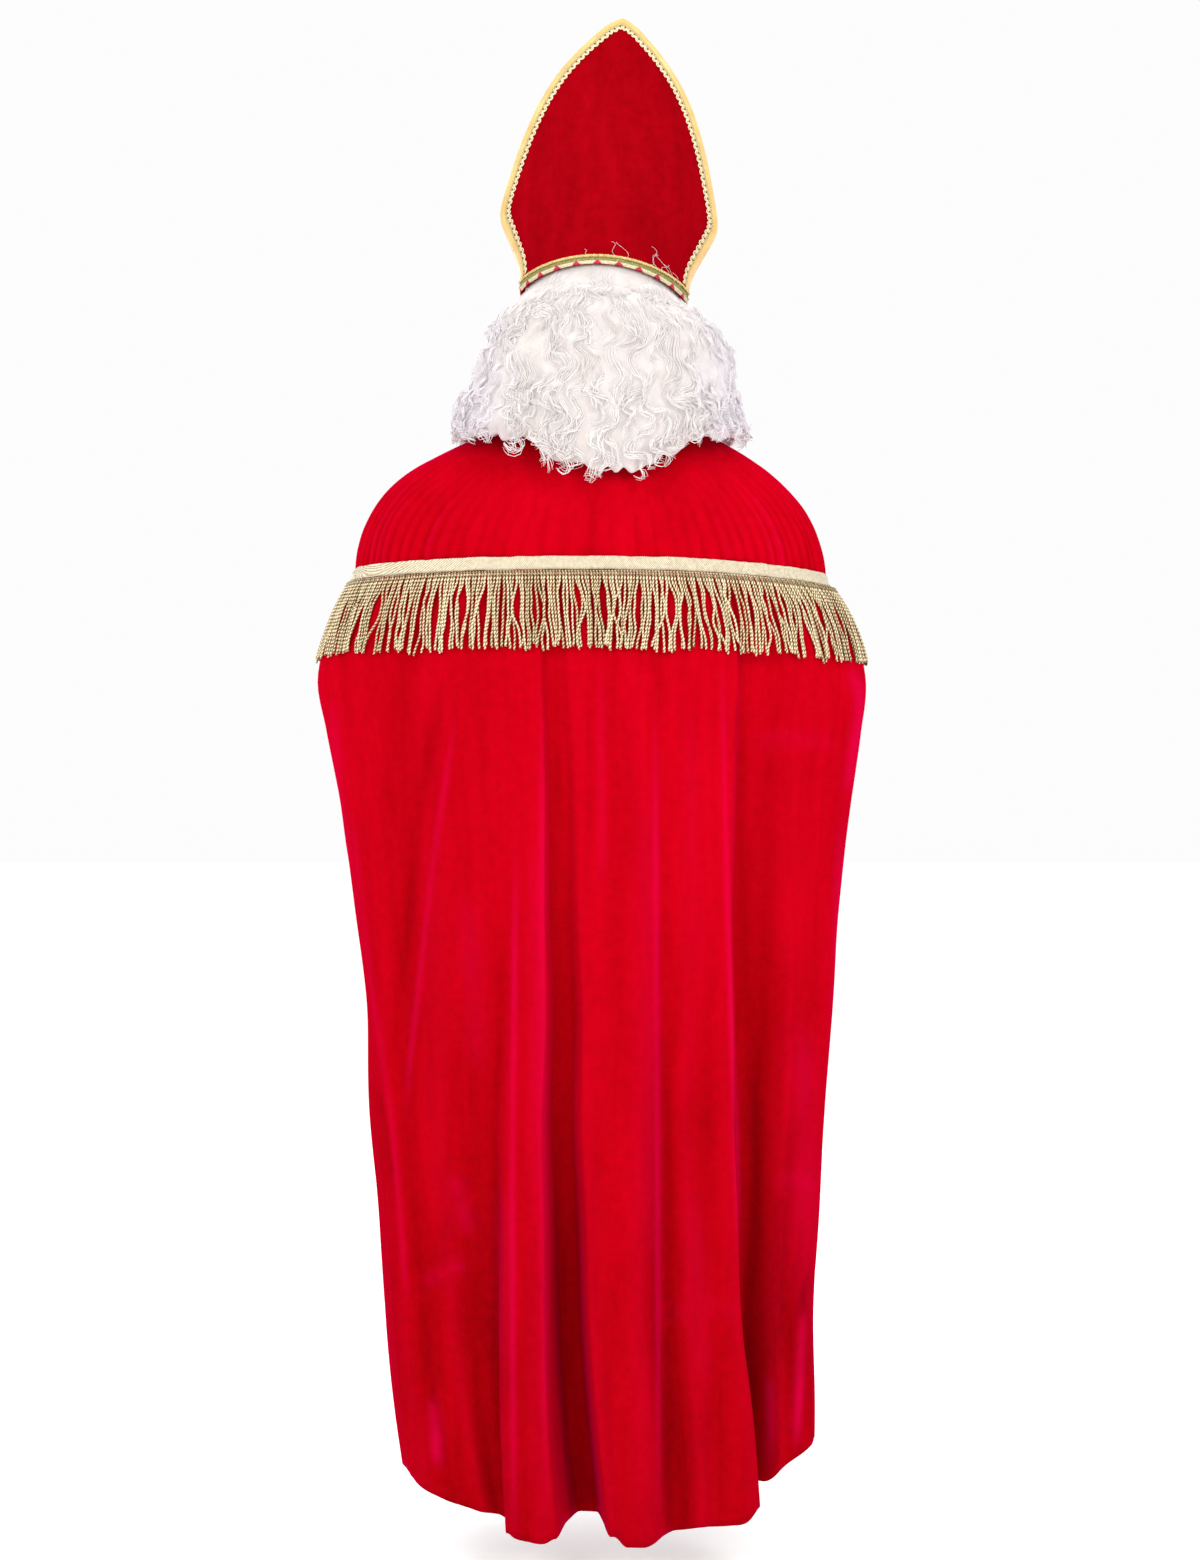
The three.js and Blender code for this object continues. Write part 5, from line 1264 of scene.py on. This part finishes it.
def hair_at(q, deg, out=0.0):
    """Point and outward direction of the hair's form at row q."""
    q = np.clip(q, 0, LAST - 1e-6)
    u = np.clip(np.asarray(deg, float) + HAIR_FRONT, 0, len(HD) - 1 - 1e-6)
    q, u = np.broadcast_arrays(q, u)
    i, j = q.astype(int), u.astype(int)
    a, b = (q - i)[..., None], (u - j)[..., None]
    pick = lambda T: (T[i, j] * (1 - a) + T[i + 1, j] * a) * (1 - b) + (T[i, j + 1] * (1 - a) + T[i + 1, j + 1] * a) * b
    N = unit(pick(HN))
    return pick(HT) + N * (out[..., None] if np.ndim(out) else out), N


ARC = 2.6  # millimetres of the hair's form a degree


def hair_drift(arc, q):
    """How far the strands wave to the side of straight down."""
    return 6.5 * np.sin(2.5 * q + 2.8 * noise(arc / 34, q * 0.35, 64)) * smooth(2.5, 5, q) + 12 * noise(arc / 36 + 5, q * 0.55, 65) * smooth(3, 7, q)


def hair_relief(arc, q):
    """Swell of the clumps, and grooves between the waved locks."""
    u = arc + hair_drift(arc, q)
    groove = 1 - np.abs(np.sin(np.pi * (u / 13 + 0.5 * noise(u / 30, q * 0.6, 66))))
    fine = 1 - np.abs(np.sin(np.pi * (u / 4.6 + 0.5 * noise(u / 9, q * 0.6, 68))))
    swell = 4.2 * noise(arc / 26, q * 0.7, 61) + 1.9 * noise(arc / 12 + 3, q * 1.4, 62) + 1.6 * smooth(8, 12, q) * noise(arc / 7, q * 2.4, 67)
    return (swell - 1.6 * groove ** 2 - 0.25 * fine ** 2) * smooth(2.0, 4.5, q)


def hair_edge(deg):
    """Lowest row of the hair."""
    return (15.35 + 0.75 * np.exp(-((deg + 8) / 20) ** 2) - 0.25 * np.exp(-((deg - 42) / 22) ** 2) + 0.9 * smooth(45, 85, np.abs(deg))
            + 0.3 * noise(deg / 8, 0 * deg, 69) + 0.2 * noise(deg / 3, 0 * deg, 70))


# smooth surface of the shoulders, to keep the curls off the cloth
yoke_tree = BVHTree.FromPolygons([Vector(v) for v in yoke_pts.reshape(-1, 3)[:]], quads(*yoke_pts.shape[:2]).tolist())


def clear_of_yoke(P, gap=2.2):
    flat = P.reshape(-1, 3).copy()
    low = np.where(flat[:, 2] < 34)[0]
    for k in low:
        co, no, _, dist = yoke_tree.find_nearest(Vector(flat[k]))
        if co is None:
            continue
        v = Vector(flat[k]) - co
        n = no if no.dot(Vector((co.x, co.y, max(co.z + 260, 20)))) > 0 else -no
        side_ = v.dot(n)
        if side_ < gap and dist < 60:
            flat[k] = co + n * gap
    return flat.reshape(P.shape)


S_, D_ = np.meshgrid(np.linspace(0, 1, 86), np.linspace(-HAIR_FRONT, HAIR_FRONT, 296), indexing="ij")
Q_ = S_ * hair_edge(D_)
arc = D_ * ARC
P, N = hair_at(Q_, D_, hair_relief(arc, Q_) - 1.6 - 7 * smooth(0.93, 1.0, S_) ** 2)
P = clear_of_yoke(P, 6.0)
thick = mix(5, 26, smooth(3.0, 9.0, Q_)) * mix(1, 0.25, smooth(12.5, 15.5, Q_))
N_flat = unit(N * np.array([1, 1, 0.15]))
mass = shell("wig_hair_mass", P, N_flat, thick, [MATS["hair_mass"]], N=N_flat,
             attrs={"tint": 0.5 + 0.3 * noise(arc / 12, Q_ * 2, 63), "ca": (arc + hair_drift(arc, Q_)) / 4.5, "sa": 0.25 * noise(arc / 6, Q_ * 2, 60), "run": Q_ * 20,
                    "cool": smooth(95, 175, np.abs(P[..., 0] + 3)) * 0.6})
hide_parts("wig_hair")

def lock_strands(n, per, K, seed, q_range, deg_range, length, wave, wave_len, coil, pitch_mm, width, lift, end_q, thick_mm):
    """Locks of fine strands. Each lock starts in the hair, lies on its form in S-waves, and curls up towards its end."""
    g = np.random.default_rng(seed)
    rows_ = max(2, int(round(math.sqrt(n * 0.42))))
    cols_ = int(math.ceil(n / rows_))
    k = np.arange(n)
    q0 = mix(q_range[0], q_range[1], ((k // cols_) + g.uniform(0.0, 1.0, n)) / rows_)
    d0 = mix(deg_range[0], deg_range[1], ((k % cols_) + g.uniform(0.0, 1.0, n)) / cols_)
    L = g.uniform(*length, n)
    t = np.linspace(0, 1, K)[None, :]
    c = lambda v: np.asarray(v, float)[:, None]
    q_end = np.minimum(q0 + L / 21, hair_edge(d0) + g.uniform(*end_q, n))
    # the lock's middle line, then each strand beside it
    rep_ = lambda v: np.repeat(v, per, axis=0)
    S = n * per
    j = lambda sd: g.normal(0, sd, S)[:, None]
    q = rep_(c(q0) + (c(q_end) - c(q0)) * t) + j(0.10)
    side = np.tile(np.linspace(-1, 1, per), n)[:, None] + j(0.12)
    wide = rep_(c(g.uniform(*width, n))) * mix(1.0, 0.45, smooth(0.5, 1.0, t)) / 2
    u = rep_(c(d0 * ARC + g.normal(0, 6, n)) + c(g.normal(0, 7, n)) * t)
    arc_ = u - hair_drift(u, q)
    for _ in range(3):
        arc_ = u - hair_drift(arc_, q)
    arc_ = np.clip(arc_, -HAIR_FRONT * ARC, HAIR_FRONT * ARC)
    rise = np.sin(np.minimum(1, t * 2.6) * np.pi / 2)
    out = hair_relief(arc_, q) - 1.6 - 2.5 * (1 - rise) + rep_(c(g.uniform(*lift, n))) * rise + j(0.3)
    out = out - 3.0 * smooth(0.75, 1, t) * smooth(14, 16, q)
    C, N = hair_at(q, arc_ / ARC, out)
    T = unit(np.gradient(C, axis=1))
    U = unit(np.cross(T, N))
    W = np.cross(U, T)
    ph = rep_(c(g.uniform(0, 6.28, n)))
    s_wave = rep_(c(g.uniform(*wave, n))) * smooth(0.0, 0.3, t) * np.sin(2 * np.pi * t * rep_(c(L / g.uniform(*wave_len, n))) + ph + 0.35 * side)
    turn = rep_(c(np.where(g.random(n) < 0.5, 1.0, -1.0)))
    phi = ph + turn * 2 * np.pi * t * rep_(c(L / g.uniform(*pitch_mm, n))) + 0.5 * side
    r = rep_(c(g.uniform(*coil, n))) * smooth(0.3, 0.75, t) * (1 + j(0.1))
    C = C + U * (side * wide + s_wave + r * np.cos(phi))[..., None] + W * (0.5 * r * (1 + np.sin(phi)))[..., None]
    rad_ = thick_mm * np.abs(1 + 0.2 * g.normal(0, 1, (S, 1))) * mix(0.6, 1, smooth(0, 0.15, t)) * mix(1, 0.35, smooth(0.8, 1, t)) + 0.06
    return C, rad_, np.clip(0.55 * g.random(S) + 0.45 * np.repeat(g.random(n), per), 0, 1)


groups = [
    # name, locks, strands, points, rows, angles, length, wave, wave length, coil, pitch, width, lift, past the edge, strand radius
    ("wig_waves_top", 70, 7, 16, (0.5, 4.8), (-116, 116), (70, 125), (0.5, 2.0), (30, 44), (0.0, 1.2), (30, 45), (9, 15), (0.2, 1.2), (-5, -3), 0.36),
    ("wig_waves_middle", 92, 7, 19, (3.8, 10.5), (-117, 117), (55, 100), (0.5, 3.0), (28, 40), (2.0, 7.0), (26, 40), (8, 13), (0.4, 2.2), (-3, -0.4), 0.38),
    ("wig_curls_low", 160, 6, 20, (10.8, 14.9), (-117, 117), (38, 66), (0.5, 2.0), (20, 30), (4.0, 7.5), (15, 24), (4, 8), (0.2, 2.6), (-0.1, 0.7), 0.42),
]
wig_pieces = []
for k_, (nm, *spec) in enumerate(groups):
    C, rr, tint = lock_strands(spec[0], spec[1], spec[2], 900 + 31 * k_, *spec[3:])
    C = clear_of_yoke(C, 3.0)
    Vt, Ft, At = tubes(C, rr, 3, tint=tint)
    # cooler and darker towards the sides of the wig: painted shade
    At["cool"] = smooth(95, 175, np.abs(Vt[:, 0] + 3)) * 0.6
    o = new_object(nm, Vt, Ft, [MATS["hair"]], attrs=At)
    wig_pieces.append(o)

# a few loose strands lying on the velvet of the mitre above the rim
fly = []
for x0_, z0_, dx, dz, bend in ((-12, 13, 6, 27, 3.0), (-27, 14, 14, 26, -3.5), (-66, 12, 7, 34, 4.0), (-79, 10, 14, 27, -4.0),
                              (-90, 8, 14, 18, 2.5), (-58, 12, -10, 24, -3.0), (-97, 8, 9, 13, 2.0), (24, 13, 4, 12, 1.5), (-74, 11, -8, 18, 3.0)):
    q = np.linspace(0, 1, 40)
    xx = x0_ + dx * q ** 1.5 + bend * np.sin(q * np.pi * 2)
    zz = np.maximum(z0_ + dz * (q - 0.25 * q ** 3) / 0.75, 2.0)
    fly.append(to_world(shield_at(1, xx, zz) + shield_normal(1, xx, zz) * (1.4 + 2.6 * (1 - smooth(14, 22, zz)))[:, None]))
Vt, Ft, At = tubes(np.array(fly), np.full((len(fly), 40), 0.17), 4, tint=np.full(len(fly), 0.9))
At["cool"] = np.zeros(len(Vt))
o = new_object("wig_loose_strands", Vt, Ft, [MATS["hair"]], attrs=At)
wig_pieces.append(o)

# net cap under the hair
n_hat = np.array([0, CAP_EDGE["brow"] - CAP_EDGE["nape"], CAP_EDGE["back"] - CAP_EDGE["front"]], float)
n_hat /= np.linalg.norm(n_hat)
ctr = np.array([HEAD["x"], HEAD["y"], HEAD["z"]], float)
ax = np.array([HEAD["half"], HEAD["depth"], HEAD["up"]], float) + 1.6
nn = n_hat * ax
d_ = np.dot(n_hat, np.array([0, CAP_EDGE["front"], CAP_EDGE["brow"]]) - ctr) / np.linalg.norm(nn)
pole = nn / np.linalg.norm(nn)
e1 = np.array([1.0, 0, 0])
e2 = np.cross(pole, e1)
PH, TH = np.meshgrid(np.linspace(0.03, math.acos(d_), 30), np.linspace(0, 2 * np.pi, 61), indexing="ij")
Uu = np.cos(PH)[..., None] * pole + np.sin(PH)[..., None] * (np.cos(TH)[..., None] * e1 + np.sin(TH)[..., None] * e2)
Pc = ctr + Uu * ax
capN = unit(Uu / ax)
R, C = Pc.shape[:2]
outer, inner = Pc[:, :-1], (Pc - capN * 1.6)[:, :-1]
C -= 1
fo = quads(R, C, close=True)
pp = outer.reshape(-1, 3)
outw = np.sum(np.cross(pp[fo[:, 2]] - pp[fo[:, 0]], pp[fo[:, 3]] - pp[fo[:, 1]]) * capN[:, :-1].reshape(-1, 3)[fo[:, 0]], -1).sum() > 0
if not outw:
    fo = fo[:, ::-1]
fi = fo[:, ::-1] + R * C
top_o, top_i = list(range(C)), [R * C + k for k in range(C)]
rim = [[(R - 1) * C + k, (R - 1) * C + (k + 1) % C, R * C + (R - 1) * C + (k + 1) % C, R * C + (R - 1) * C + k] for k in range(C)]
caps = [top_o[::-1] if outw else top_o, top_i if outw else top_i[::-1]]
if outw:
    rim = [r[::-1] for r in rim]
cap = new_object("wig_net", np.concatenate([pp, inner.reshape(-1, 3)]), fo.tolist() + fi.tolist() + rim + caps, [MATS["net"]])
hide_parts("wig_cap")

# ------------------------------------------------------------------------------------------------ fastening
for n in ("throat_hook", "throat_bar"):
    o = frame["nodes"][n]
    o = bpy.data.objects[n] if isinstance(o, str) or not hasattr(o, "material_slots") else o
    if not o.material_slots:
        o.data.materials.append(MATS["brass"])
    for s in o.material_slots:
        s.material = MATS["brass"]

{"cad": [list(map(float, c)) for c in cad_box], "visual": [list(map(float, c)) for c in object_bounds()]}
